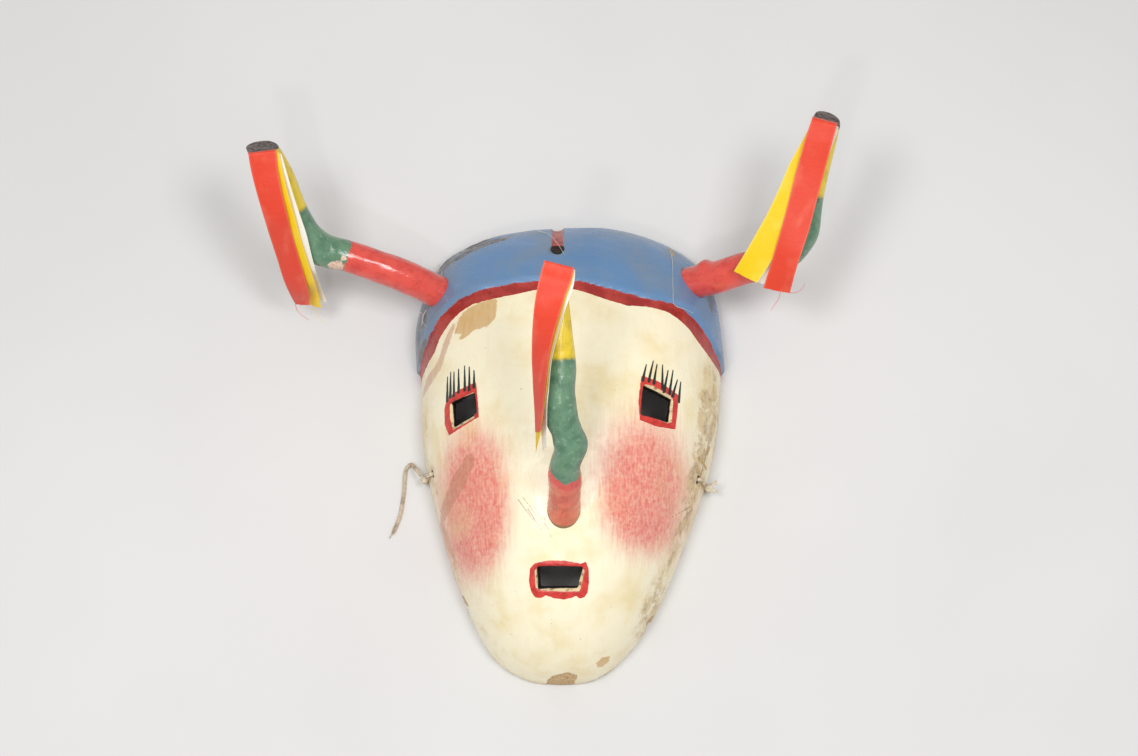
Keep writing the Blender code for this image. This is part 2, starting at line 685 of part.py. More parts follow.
def rim_chip(name, spot, height, size, parent):
    """A rough bite out of the rim's edge."""
    centre = place(spot) + Vector((0.0, 0.0, height * WALL))
    radius = size * WALL
    mesh = ellipsoid_mesh(name, centre, (radius, 0.8 * radius, 1.3 * radius), 1)
    for vert in mesh.vertices:
        wave = math.sin(3.7 * vert.index)
        vert.co = centre + (vert.co - centre) * (1.0 + CHIP_ROUGHNESS * wave)
    return cutter(name, mesh, parent)


def mask_shell(branches, ties, finish, parent):
    """The carved face with its raised cap, hollow behind and flat at the rim."""
    face = dome_mesh("mask_shell", 0.0, DOME_SECTORS, DOME_RINGS, SKIRT)
    shell = add_object("mask_shell", face, finish, parent)
    cap = dome_mesh("cap_form", -CAP_STEP, DOME_SECTORS, DOME_RINGS, 1.3 * SKIRT)
    cap = cutter("cap_form", cap, parent)
    combine(cap, cap_region(parent), "INTERSECT")
    combine(shell, cap, "UNION")
    hollow = dome_mesh("hollow", WALL, HOLLOW_SECTORS, HOLLOW_RINGS, 2 * SKIRT)
    combine(shell, cutter("hollow", hollow, parent), "DIFFERENCE")
    wide = MASK_WIDTH + MASK_HEIGHT
    corners = [Vector((x * wide, y * wide, 0.0)) for x, y in ((-1, -1), (1, -1), (1, 1), (-1, 1))]
    below = prism_mesh("below_floor", corners, -4 * SKIRT, 0.0)
    combine(shell, cutter("below_floor", below, parent), "DIFFERENCE")
    for branch in branches:
        combine(shell, branch.socket(parent), "DIFFERENCE")
    for name, corners in (("left_eye", LEFT_EYE), ("right_eye", RIGHT_EYE), ("mouth", MOUTH)):
        combine(shell, opening(name, corners, parent), "DIFFERENCE")
    combine(shell, top_groove(parent), "DIFFERENCE")
    point, normal = on_dome(TOP_HOLE, -CAP_STEP)
    combine(shell, round_hole("top_hole", point, normal, TOP_HOLE_DIAMETER, parent), "DIFFERENCE")
    for tie in ties:
        combine(shell, tie.hole(parent), "DIFFERENCE")
        combine(shell, tie.notch(parent), "DIFFERENCE")
    for name, spot, height, size in RIM_CHIPS:
        combine(shell, rim_chip(name, spot, height, size, parent), "DIFFERENCE")
    return shell


def centre_on_floor(root, pieces):
    """Put the origin on the floor, under the middle of the box around the pieces."""
    bpy.context.view_layer.update()
    graph = bpy.context.evaluated_depsgraph_get()
    corners = []
    for piece in pieces:
        shape = piece.evaluated_get(graph)
        corners += [shape.matrix_world @ v.co for v in shape.to_mesh().vertices]
        shape.to_mesh_clear()
    low = [min(c[axis] for c in corners) for axis in range(3)]
    high = [max(c[axis] for c in corners) for axis in range(3)]
    root.location = (-(low[0] + high[0]) / 2, -(low[1] + high[1]) / 2, -low[2])
    bpy.context.view_layer.update()


def main():
    clear_scene()
    root = bpy.data.objects.new("mask_frame", None)
    bpy.context.collection.objects.link(root)

    painted = material("painted face wood", (0.80, 0.72, 0.50), 0.45)
    bark = material("painted branch", (0.62, 0.12, 0.08), 0.35)
    cord = material("cotton cord", (0.80, 0.74, 0.64), 0.9)
    satin = {
        "red": material("red satin", (0.75, 0.10, 0.06), 0.35),
        "yellow": material("yellow satin", (0.90, 0.62, 0.04), 0.35),
        "white": material("white satin", (0.88, 0.84, 0.76), 0.35),
    }

    left = Branch("left_horn", LEFT_HORN_ROOT, -CAP_STEP, LEFT_HORN_ROUTE, LEFT_HORN_LENGTH,
                  HORN_ROOT_RADIUS, HORN_TIP_RADIUS, LEFT_HORN_KNOTS)
    right = Branch("right_horn", RIGHT_HORN_ROOT, -CAP_STEP, RIGHT_HORN_ROUTE, RIGHT_HORN_LENGTH,
                   HORN_ROOT_RADIUS, HORN_TIP_RADIUS, RIGHT_HORN_KNOTS)
    nose = Branch("nose_horn", NOSE_ROOT, 0.0, NOSE_ROUTE, NOSE_LENGTH,
                  NOSE_ROOT_RADIUS, NOSE_TIP_RADIUS, NOSE_KNOTS)
    left_tie = EarTie("left", LEFT_EAR)
    right_tie = EarTie("right", RIGHT_EAR)

    pieces = [mask_shell((left, right, nose), (left_tie, right_tie), painted, root)]
    for branch, ribbons, turn in ((left, LEFT_RIBBONS, LEFT_TURN),
                                  (right, RIGHT_RIBBONS, RIGHT_TURN),
                                  (nose, NOSE_RIBBONS, NOSE_TURN)):
        pieces.append(branch.build(bark, root))
        pieces += ribbon_stack(branch, ribbons, turn, satin, root)
    pieces.append(left_tie.build(cord, root, stubs=[]))
    pieces.append(right_tie.build(cord, root, stubs=RIGHT_STUBS))
    tail_cord(left_tie, cord, root)
    centre_on_floor(root, pieces)


main()
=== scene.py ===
"""Looks of the festival mask: fine form, paint, ribbons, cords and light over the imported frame.

Everything is built in the part's own frame, which part.py uses too, and then moved by SHIFT into
the row frame. Millimetre tables are places on the mask: x to the photo's right, y to the top.
"""
import math

import bmesh
import bpy
import numpy as np
from mathutils import Matrix, Vector, geometry, kdtree, noise


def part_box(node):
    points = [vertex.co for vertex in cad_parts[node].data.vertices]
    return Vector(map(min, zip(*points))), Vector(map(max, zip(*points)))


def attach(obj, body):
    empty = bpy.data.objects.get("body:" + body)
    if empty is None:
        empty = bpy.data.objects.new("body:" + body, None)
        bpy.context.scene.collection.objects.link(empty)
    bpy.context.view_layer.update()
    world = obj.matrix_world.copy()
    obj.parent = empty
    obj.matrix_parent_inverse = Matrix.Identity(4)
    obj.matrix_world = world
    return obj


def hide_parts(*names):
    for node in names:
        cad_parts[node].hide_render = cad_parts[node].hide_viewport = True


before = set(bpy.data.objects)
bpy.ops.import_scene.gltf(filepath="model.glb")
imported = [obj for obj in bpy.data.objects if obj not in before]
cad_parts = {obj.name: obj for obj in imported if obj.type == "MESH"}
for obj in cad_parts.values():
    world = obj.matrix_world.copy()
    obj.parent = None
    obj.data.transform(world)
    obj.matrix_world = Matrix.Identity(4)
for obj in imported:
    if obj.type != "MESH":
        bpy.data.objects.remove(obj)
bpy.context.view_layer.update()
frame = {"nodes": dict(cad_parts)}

MM = 0.001

# The same sizes and routes as in part.py
MASK_WIDTH = 0.168
MASK_HEIGHT = 0.256
MASK_DEPTH = 0.072
WALL = 0.0095
CAP_STEP = 0.0025
DOME_POWER = 2.4
DOME_FALL = 0.55
DOME_CENTRE_V = 0.02
LEFT_HORN_LENGTH = 0.130
RIGHT_HORN_LENGTH = 0.130
NOSE_LENGTH = 0.135
HORN_ROOT_RADIUS = 0.0092
HORN_TIP_RADIUS = 0.0076
NOSE_ROOT_RADIUS = 0.0088
NOSE_TIP_RADIUS = 0.0062
PEG_LENGTH = 0.014
RIBBON_WIDTH = 0.014
OPENING_FLARE = 0.10
TOP_HOLE_DIAMETER = 0.005
TOP_GROOVE_WIDTH = 0.0065
TOP_GROOVE_DEPTH = 0.0025
EAR_HOLE_DIAMETER = 0.005
CORD_DIAMETER = 0.0022
CORD_STAND_OFF = 0.0005
KNOT_RADIUS = 0.0026
KNOT_HEIGHT = 0.52
LOOP_HEIGHTS_OUTSIDE = (0.78, 0.5, 0.25)
LOOP_HEIGHTS_INSIDE = (0.25, 0.5)
NOTCH_STAND_OFFS = 3
RIGHT_STUBS = [(1.73, 1.15, 0.19), (1.62, -0.92, -0.62)]
BRANCH_RINGS = 24

RIM = [
    (0.012, 0.529), (0.155, 0.525), (0.298, 0.496), (0.417, 0.447), (0.476, 0.379),
    (0.500, 0.266), (0.500, 0.148), (0.470, 0.008), (0.411, -0.113), (0.345, -0.227),
    (0.280, -0.320), (0.202, -0.398), (0.095, -0.457), (-0.030, -0.471), (-0.149, -0.457),
    (-0.250, -0.408), (-0.327, -0.313), (-0.393, -0.195), (-0.446, -0.070), (-0.479, 0.039),
    (-0.488, 0.172), (-0.497, 0.313), (-0.429, 0.438), (-0.298, 0.498), (-0.155, 0.521),
]
CAP_EDGE = [
    (-0.62, 0.165), (-0.505, 0.195), (-0.476, 0.225), (-0.452, 0.254), (-0.429, 0.276),
    (-0.363, 0.315), (-0.262, 0.334), (-0.179, 0.342), (-0.095, 0.347), (0.012, 0.348),
    (0.119, 0.330), (0.226, 0.311), (0.327, 0.303), (0.393, 0.283), (0.446, 0.252),
    (0.482, 0.223), (0.512, 0.201), (0.62, 0.175),
]
LEFT_EYE = [(-0.379, 0.097), (-0.300, 0.103), (-0.293, 0.060), (-0.371, 0.038)]
RIGHT_EYE = [(0.236, 0.113), (0.329, 0.095), (0.320, 0.042), (0.225, 0.050)]
MOUTH = [(-0.099, -0.263), (0.043, -0.264), (0.028, -0.307), (-0.099, -0.307)]
TOP_HOLE = (-0.037, 0.430)
LEFT_EAR = (-0.443, -0.032)
RIGHT_EAR = (0.418, -0.049)
LEFT_HORN_ROOT = (-0.4315, 0.358)
LEFT_HORN_ROUTE = [
    (0.0, 0.0, 0.0), (-0.077, 0.023, 0.054), (-0.169, 0.050, 0.100), (-0.273, 0.077, 0.138),
    (-0.373, 0.104, 0.177), (-0.454, 0.127, 0.215), (-0.512, 0.177, 0.269),
    (-0.558, 0.250, 0.331), (-0.596, 0.327, 0.400), (-0.642, 0.392, 0.469),
    (-0.685, 0.442, 0.515),
]
RIGHT_HORN_ROOT = (0.411, 0.375)
RIGHT_HORN_ROUTE = [
    (0.0, 0.0, 0.0), (0.100, 0.0, 0.077), (0.200, 0.015, 0.138), (0.300, 0.023, 0.192),
    (0.381, 0.058, 0.246), (0.423, 0.131, 0.308), (0.450, 0.246, 0.385),
    (0.473, 0.354, 0.446), (0.496, 0.438, 0.485), (0.515, 0.512, 0.515),
]
NOSE_ROOT = (-0.0155, -0.150)
NOSE_ROUTE = [
    (0.0, 0.0, 0.0), (0.004, 0.044, 0.111), (0.007, 0.089, 0.215), (0.011, 0.137, 0.289),
    (0.011, 0.200, 0.348), (-0.004, 0.274, 0.400), (-0.011, 0.344, 0.444),
    (-0.007, 0.411, 0.481), (-0.011, 0.511, 0.533), (-0.019, 0.611, 0.585),
    (-0.026, 0.726, 0.637),
]
LEFT_HORN_KNOTS = [(0.56, 0.17, 0.07, (-0.4, -0.9, 0.0)), (0.62, 0.09, 0.05, (0.3, 0.2, 0.9))]
RIGHT_HORN_KNOTS = [(0.16, 0.24, 0.025, (0.0, 0.9, 0.4)), (0.60, 0.17, 0.06, (0.9, -0.3, 0.0))]
NOSE_KNOTS = [(0.37, 0.34, 0.05, (0.9, 0.1, 0.2)), (0.46, -0.14, 0.04, (-0.9, 0.0, 0.2)),
              (0.30, 0.14, 0.05, (-0.8, -0.2, 0.3))]
# Further knots of the nose that only this script has
NOSE_RELIEF = [(0.43, 0.30, 0.04, (0.9, 0.1, 0.2)), (0.345, -0.22, 0.045, (0.9, 0.1, 0.2)),
               (0.40, -0.16, 0.03, (-0.9, 0.0, 0.2)), (0.535, 0.26, 0.085, (-1.0, 0.0, 0.15)),
               (0.37, -0.16, 0.05, (0.9, 0.1, 0.2))]
# Left and right edge of each ribbon, in pixels of the photograph, and the height
# in millimetres of the middle between them, from the branch's end down
RIBBON_EDGES = {
    "left_red": [
        (248.3, 153.0, 275.6, 149.6, 105.6), (248.6, 156.5, 276.0, 153.2, 107.2),
        (251.5, 172.0, 277.5, 169.5, 103.4), (257.0, 194.0, 281.6, 191.0, 94.5),
        (264.0, 217.5, 286.6, 213.5, 83.5), (270.5, 238.0, 291.5, 234.0, 71.0),
        (277.5, 260.0, 298.2, 256.0, 57.5), (284.0, 281.0, 305.0, 279.0, 43.0),
        (290.5, 296.0, 308.5, 294.0, 32.0), (295.5, 304.5, 309.5, 305.0, 25.5),
    ],
    "left_yellow": [
        (252.0, 150.5, 278.5, 150.0, 104.6), (252.5, 155.0, 279.5, 154.5, 106.0),
        (257.0, 172.0, 282.5, 170.5, 101.6), (264.0, 196.0, 288.0, 193.0, 91.5),
        (272.5, 222.0, 294.5, 216.5, 79.0), (280.5, 245.0, 301.0, 240.0, 65.5),
        (289.0, 268.0, 308.2, 263.0, 51.0), (297.5, 287.0, 315.0, 283.0, 38.0),
        (302.5, 297.0, 319.0, 297.0, 29.0), (306.0, 303.0, 321.0, 308.0, 22.5),
    ],
    "left_white": [
        (254.0, 150.0, 280.5, 151.0, 103.6), (255.0, 154.0, 281.5, 155.5, 104.8),
        (261.0, 171.0, 286.0, 170.5, 99.6), (269.0, 194.0, 291.8, 190.5, 89.5),
        (278.0, 219.0, 299.0, 213.5, 77.0), (287.0, 242.0, 306.5, 236.0, 63.0),
        (296.0, 263.0, 313.2, 258.0, 49.0), (304.0, 281.0, 319.5, 276.0, 37.0),
        (309.0, 291.0, 324.5, 289.5, 28.5), (313.0, 298.0, 330.0, 303.0, 21.5),
    ],
    "right_red": [
        (812.8, 113.8, 837.2, 121.6, 109.2), (812.0, 117.5, 836.6, 125.5, 111.2),
        (807.8, 131.0, 833.4, 138.0, 108.6), (803.0, 148.0, 828.8, 155.0, 105.2),
        (796.5, 171.0, 822.5, 178.5, 99.5), (789.8, 197.0, 815.8, 204.0, 93.2),
        (783.0, 223.0, 809.0, 230.0, 86.4), (776.4, 246.0, 801.8, 252.0, 79.0),
        (770.0, 267.0, 795.5, 271.5, 71.0), (763.6, 287.6, 789.6, 293.6, 61.5),
    ],
    "right_yellow": [
        (809.0, 117.5, 832.0, 127.0, 107.6), (807.6, 122.0, 831.0, 131.0, 109.0),
        (799.5, 142.0, 824.0, 151.0, 105.2), (790.0, 163.5, 814.5, 173.0, 99.8),
        (779.5, 187.5, 804.0, 197.0, 93.8), (768.5, 211.5, 793.0, 221.0, 87.4),
        (758.0, 230.5, 782.5, 241.0, 81.6), (748.9, 246.7, 773.5, 257.0, 76.6),
        (741.6, 258.8, 765.5, 270.0, 71.8), (734.3, 270.9, 756.5, 282.9, 66.5),
    ],
    "right_white": [
        (814.0, 116.0, 837.6, 124.5, 106.6), (813.5, 121.0, 838.0, 129.5, 107.8),
        (806.0, 141.0, 831.0, 149.0, 103.4), (797.0, 163.0, 822.0, 171.0, 97.8),
        (786.0, 190.0, 811.0, 198.0, 91.0), (775.0, 217.0, 799.5, 225.0, 84.0),
        (764.5, 240.0, 788.5, 248.0, 77.0), (756.0, 258.0, 780.0, 266.0, 70.6),
        (750.5, 269.0, 774.0, 277.0, 66.2), (745.0, 279.5, 768.0, 288.5, 61.5),
    ],
    "nose_red": [
        (544.6, 260.4, 573.4, 267.6, 160.6), (544.0, 262.5, 573.4, 270.0, 162.4),
        (541.2, 272.0, 570.6, 281.0, 161.0), (537.4, 288.0, 564.9, 296.0, 156.8),
        (534.2, 308.0, 559.6, 313.0, 151.0), (532.2, 332.4, 553.6, 334.5, 142.5),
        (531.8, 358.3, 548.6, 357.0, 129.0), (533.0, 380.0, 545.8, 378.0, 118.0),
        (533.9, 402.0, 543.6, 400.0, 106.0), (534.8, 432.2, 541.3, 430.4, 90.5),
    ],
    "nose_yellow": [
        (545.4, 261.6, 573.8, 269.0, 159.4), (545.0, 265.0, 573.8, 272.5, 160.8),
        (543.0, 275.0, 571.2, 283.5, 159.0), (539.6, 291.0, 565.8, 299.0, 154.8),
        (536.6, 312.0, 560.6, 316.5, 148.8), (534.4, 337.0, 554.8, 338.0, 140.0),
        (534.0, 362.0, 549.6, 360.5, 126.5), (534.6, 386.0, 546.6, 383.0, 115.0),
        (535.2, 410.0, 543.8, 407.0, 101.5), (535.6, 452.0, 540.2, 437.0, 83.0),
    ],
    "nose_white": [
        (547.0, 262.8, 574.6, 270.0, 158.2), (547.0, 266.0, 575.0, 273.5, 159.4),
        (545.6, 277.0, 573.2, 286.0, 157.2), (542.6, 294.0, 567.8, 302.0, 152.8),
        (539.4, 315.0, 562.0, 319.5, 146.6), (537.4, 340.0, 556.2, 341.0, 137.6),
        (537.0, 366.0, 551.2, 363.0, 124.0), (538.0, 391.0, 548.4, 388.0, 112.0),
        (539.2, 414.0, 546.6, 411.0, 99.0), (542.6, 450.5, 546.8, 446.5, 80.5),
    ],
}
# Stations moved afterwards: x and y of the left edge and of the right one, in millimetres
RIBBON_MOVES = {
    "left_yellow": {0: (0.0, -1.6, 0.0, -1.6)},
    "left_white": {0: (0.0, -2.0, 0.0, -1.8), 6: (0.0, 0.0, -0.7, 0.0), 7: (0.0, 0.0, -1.3, 0.0),
                   8: (0.0, 0.0, -1.7, 0.0), 9: (0.0, 0.0, -2.0, 0.5)},
    "right_red": {0: (0.1, -1.6, -0.2, -0.8), 1: (0.0, -0.7, 0.0, 0.0)},
    "right_yellow": {0: (3.5, -2.4, 1.0, -0.5), 1: (2.1, -1.3, 0.0, 0.0), 2: (1.1, -0.2, 0.0, 0.0)},
    "right_white": {0: (1.0, -2.4, 0.0, -1.2), 8: (1.5, -0.4, 1.2, -0.2), 9: (2.8, 0.5, 1.9, 0.9)},
}
# Ribbon, and the routes of its threads in millimetres
LOOSE_THREADS = [
    ("left", "red",
     [[(-151.6, 87.6, 21.5), (-150.6, 84.6, 21.0), (-148.4, 82.2, 20.0), (-144.1, 79.6, 19.0)]]),
    ("left", "yellow",
     [[(-142.4, 87.4, 22.5), (-140.4, 83.6, 22.0), (-138.6, 80.6, 21.0), (-136.8, 77.9, 20.0)]]),
    ("right", "red",
     [[(118.0, 81.2, 62.0), (121.0, 81.4, 61.5), (124.4, 83.2, 61.0), (126.8, 86.8, 61.0)],
      [(113.4, 82.4, 61.5), (112.4, 78.4, 60.5), (110.2, 75.2, 59.5), (108.1, 72.1, 58.5)]]),
]
LEFT_TAIL = [
    (-0.0018, 0.0026, 0.0092), (-0.0043, 0.0060, 0.0068), (-0.0064, 0.0092, 0.0038),
    (-0.0080, 0.0104, 0.0020), (-0.0096, 0.0094, 0.00125), (-0.0106, 0.0066, 0.00115),
    (-0.0110, 0.0028, 0.00115), (-0.0112, -0.0012, 0.00115), (-0.0114, -0.0052, 0.00115),
    (-0.0118, -0.0092, 0.00115), (-0.0123, -0.0132, 0.00115), (-0.0130, -0.0172, 0.00115),
    (-0.0140, -0.0208, 0.00115), (-0.0152, -0.0242, 0.00115), (-0.0166, -0.0274, 0.00115),
]
RIM_CHIPS = [
    ((0.262, -0.348), 0.21, 0.44), ((0.104, -0.452), 0.0, 0.34), ((0.412, 0.462), 1.05, 0.53),
    ((0.372, 0.486), 0.63, 0.34), ((0.462, -0.004), 0.42, 0.32),
]

# Bare spots: millimetres from the root, the side they face, half length and half width.
# The dark knot on the right horn has one size. Bends: share of the length, spread, move in
# millimetres.
LEFT_BARE = [(60.5, (0.1, -0.95, 0.25), 4.6, 3.8), (58.2, (0.1, -0.5, 0.8), 1.9, 1.6)]
NOSE_BARE = [(72.0, (0.4, -0.75, 0.5), 2.0, 1.5), (41.0, (0.3, -0.9, 0.4), 1.4, 1.3)]
RIGHT_DARK = [(72.0, (0.9, 0.1, 0.4), 2.2)]
LEFT_BENDS = [(0.64, 0.12, (-2.4, -1.6, 0.0)), (0.80, 0.12, (-2.4, 0.2, 0.0))]
NOSE_BENDS = [(0.90, 0.12, (0.9, 0.0, -0.6))]

# Which way the sawn ends of the horns face
LEFT_CUT = Vector((-0.12, 0.70, 0.70)).normalized()
RIGHT_CUT = Vector((0.26, 0.66, 0.70)).normalized()

# Camera: a 70 mm lens that looks down on the mask from the chin's side
LENS = 70.0
SENSOR_WIDTH = 36.0
PHOTO_WIDTH, PHOTO_HEIGHT = 1138, 756
CAMERA_HEIGHT = 74.0
CAMERA_DISTANCE = 1.195
LOOK_POINT = Vector((0.0, 0.040, 0.040))
SIGHT = Vector((0.0, -math.cos(math.radians(CAMERA_HEIGHT)), math.sin(math.radians(CAMERA_HEIGHT))))
EYE = LOOK_POINT + SIGHT * CAMERA_DISTANCE


def catmull_rom(a, b, c, d, t):
    return 0.5 * ((2 * b) + (c - a) * t + (2 * a - 5 * b + 4 * c - d) * t ** 2
                  + (3 * b - a - 3 * c + d) * t ** 3)


def smooth_points(points, per_span, closed=False):
    """Points along a smooth curve through the given ones."""
    count = len(points)
    spans = count if closed else count - 1
    made = []
    for i in range(spans):
        if closed:
            a, b, c, d = (points[(i + k) % count] for k in (-1, 0, 1, 2))
        else:
            a, b, c, d = (points[min(max(i + k, 0), count - 1)] for k in (-1, 0, 1, 2))
        made += [catmull_rom(a, b, c, d, step / per_span) for step in range(per_span)]
    if not closed:
        made.append(points[-1].copy())
    return made


def evenly(points, count):
    """The same curve with a set number of evenly spaced points."""
    dense = np.array([tuple(p) for p in smooth_points(points, 24)])
    lengths = np.linalg.norm(np.diff(dense, axis=0), axis=1)
    along = np.concatenate([[0.0], np.cumsum(lengths)])
    wanted = np.linspace(0.0, along[-1], count)
    columns = [np.interp(wanted, along, dense[:, axis]) for axis in range(3)]
    return [Vector(row) for row in zip(*columns)]


def place(shares):
    """A plan position from shares of the mask's width and height."""
    return Vector((shares[0] * MASK_WIDTH, shares[1] * MASK_HEIGHT, 0.0))


CENTRE = place((0.0, DOME_CENTRE_V))


def rim_table():
    """Radius of the rim around the dome's centre, by angle."""
    arms = [p - CENTRE for p in smooth_points([place(p) for p in RIM], 12, closed=True)]
    rows = sorted((math.atan2(arm.y, arm.x), arm.length) for arm in arms)
    return np.array([r[0] for r in rows]), np.array([r[1] for r in rows])


RIM_ANGLES, RIM_RADII = rim_table()


def rim_radius(angle):
    return np.interp(angle, RIM_ANGLES, RIM_RADII, period=2 * math.pi)


def dome_points(angle, slope, inset):
    """Points of the dome that lies inset inside the face, as rows; the arguments are arrays."""
    radius = (rim_radius(angle) - inset) * np.sin(slope) ** (2 / DOME_POWER)
    height = (MASK_DEPTH - inset) * np.maximum(np.cos(slope), 0.0) ** (2 * DOME_FALL)
    return np.stack([CENTRE.x + radius * np.cos(angle), CENTRE.y + radius * np.sin(angle),
                     height], axis=-1)


def dome_point(angle, slope, inset):
    return Vector(dome_points(np.float64(angle), np.float64(slope), inset))


def slope_at(angle, radius, inset):
    share = min(radius / (rim_radius(angle) - inset), 1.0)
    return math.asin(share ** (DOME_POWER / 2))


def on_dome(shares, inset=0.0):
    """The dome's point and outward normal over a plan position."""
    arm = place(shares) - CENTRE
    angle = math.atan2(arm.y, arm.x)
    slope = slope_at(angle, arm.length, inset)
    step = 0.01
    inwards = dome_point(angle, slope - step, inset) - dome_point(angle, slope + step, inset)
    sideways = dome_point(angle + step, slope, inset) - dome_point(angle - step, slope, inset)
    return dome_point(angle, slope, inset), sideways.cross(inwards).normalized()


def frames_along(centres):
    """Tangent and two cross directions at each centre, without a twist."""
    frames = []
    normal = None
    for i in range(len(centres)):
        before = centres[max(i - 1, 0)]
        after = centres[min(i + 1, len(centres) - 1)]
        tangent = (after - before).normalized()
        if normal is None:
            normal = tangent.orthogonal()
        normal = (normal - tangent * normal.dot(tangent)).normalized()
        frames.append((tangent, normal, tangent.cross(normal)))
    return frames


def make_knots(rows, root_radius):
    """Swellings of a branch, with heights in metres and directions of length 1."""
    return [(share, height * root_radius, spread, Vector(way).normalized())
            for share, height, spread, way in rows]


def swelling(knots, share, out):
    """How far the knots swell at a place along and around a branch."""
    total = 0.0
    for middle, height, spread, way in knots:
        near = math.exp(-((share - middle) / spread) ** 2)
        total += height * near * max(out.dot(way), 0.0) ** 2
    return total


class Branch:
    """The centre-line, thickness and swellings of a branch, as in part.py."""

    def __init__(self, root, inset, route, length, root_radius, tip_radius, knots):
        self.knots = make_knots(knots, root_radius)
        self.root = on_dome(root, inset)[0]
        self.inset = inset
        start = self.root - Vector(route[1]).normalized() * PEG_LENGTH
        points = [start] + [self.root + Vector(step) * length for step in route]
        self.centres = evenly(points, BRANCH_RINGS)
        self.root_radius = root_radius
        self.tip_radius = tip_radius
        self.radii = [root_radius + (tip_radius - root_radius) * i / (BRANCH_RINGS - 1)
                      for i in range(BRANCH_RINGS)]
        self.ways = [frame[0] for frame in frames_along(self.centres)]
        self.spacing = (self.centres[1] - self.centres[0]).length
        self.tip = self.centres[-1]
        self.tip_way = self.ways[-1]

    def radius(self, share):
        return self.root_radius + (self.tip_radius - self.root_radius) * share

    def swelling(self, share, out):
        return swelling(self.knots, share, out)


class EarTie:
    """Where the tie cord's loop runs through an ear hole and round the rim, as in part.py."""

    def __init__(self, shares):
        self.point, self.normal = on_dome(shares)
        arm = self.point - CENTRE
        self.angle = math.atan2(arm.y, arm.x)
        self.out = Vector((math.cos(self.angle), math.sin(self.angle), 0.0))
        self.radius = CORD_DIAMETER / 2
        self.stand_off = self.radius + CORD_STAND_OFF
        self.knot = self.wall_point(KNOT_HEIGHT, self.stand_off + 0.6 * KNOT_RADIUS)

    def wall_point(self, share, stand_off, inset=0.0):
        height = self.point.z * share
        slope = math.acos((height / (MASK_DEPTH - inset)) ** (1 / (2 * DOME_FALL)))
        return dome_point(self.angle, slope, inset) + self.out * stand_off

    def loop_points(self):
        outside = [self.wall_point(share, self.stand_off) for share in LOOP_HEIGHTS_OUTSIDE]
        inside = [self.wall_point(share, -self.stand_off, WALL) for share in LOOP_HEIGHTS_INSIDE]
        corner_out = dome_point(self.angle, math.pi / 2, 0.0) + self.out * 0.6 * self.stand_off
        corner_in = dome_point(self.angle, math.pi / 2, WALL) - self.out * 0.6 * self.stand_off
        for corner in (corner_out, corner_in):
            corner.z = self.radius + 1.2 * CORD_STAND_OFF
        mouth_out = self.point + self.normal * 1.2 * self.stand_off
        mouth_in = self.point - self.normal * (WALL + 1.4 * self.stand_off)
        middle = self.point - self.normal * WALL / 2
        return [mouth_out, *outside, corner_out, corner_in, *inside, mouth_in, middle]


LEFT_HORN = Branch(LEFT_HORN_ROOT, -CAP_STEP, LEFT_HORN_ROUTE, LEFT_HORN_LENGTH,
                   HORN_ROOT_RADIUS, HORN_TIP_RADIUS, LEFT_HORN_KNOTS)
RIGHT_HORN = Branch(RIGHT_HORN_ROOT, -CAP_STEP, RIGHT_HORN_ROUTE, RIGHT_HORN_LENGTH,
                    HORN_ROOT_RADIUS, HORN_TIP_RADIUS, RIGHT_HORN_KNOTS)
NOSE = Branch(NOSE_ROOT, 0.0, NOSE_ROUTE, NOSE_LENGTH,
              NOSE_ROOT_RADIUS, NOSE_TIP_RADIUS, NOSE_KNOTS)
LEFT_TIE = EarTie(LEFT_EAR)
RIGHT_TIE = EarTie(RIGHT_EAR)


def find_shift():
    """From the part's own frame to the row frame, by the middle of the nose branch's box."""
    low, high = (Vector(corner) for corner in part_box("nose_horn"))
    sides = 14
    corners = []
    for i, (centre, frame_here) in enumerate(zip(NOSE.centres, frames_along(NOSE.centres))):
        for k in range(sides):
            angle = 2 * math.pi * k / sides
            out = frame_here[1] * math.cos(angle) + frame_here[2] * math.sin(angle)
            extra = NOSE.swelling(i / (BRANCH_RINGS - 1), out)
            corners.append(centre + out * (NOSE.radii[i] + extra))
    return Vector([0.5 * (low[a] + high[a]) - 0.5 * (min(c[a] for c in corners)
                   + max(c[a] for c in corners)) for a in range(3)])


SHIFT = find_shift()
ROW = np.array(SHIFT)


def set_camera():
    data = bpy.data.cameras.new("camera")
    data.lens = LENS
    data.sensor_width = SENSOR_WIDTH
    camera = bpy.data.objects.new("camera", data)
    bpy.context.collection.objects.link(camera)
    turn = Matrix(((1.0, 0.0, 0.0), (0.0, SIGHT.z, -SIGHT.y), SIGHT)).transposed()
    camera.matrix_world = Matrix.Translation(EYE + SHIFT) @ turn.to_4x4()
    bpy.context.scene.camera = camera


set_camera()


# Materials

def linear(red, green, blue):
    """A colour as seen on a screen, 0 to 255, in the renderer's own values."""
    made = []
    for value in (red, green, blue):
        share = value / 255
        made.append(share / 12.92 if share <= 0.04045 else ((share + 0.055) / 1.055) ** 2.4)
    return (*made, 1.0)


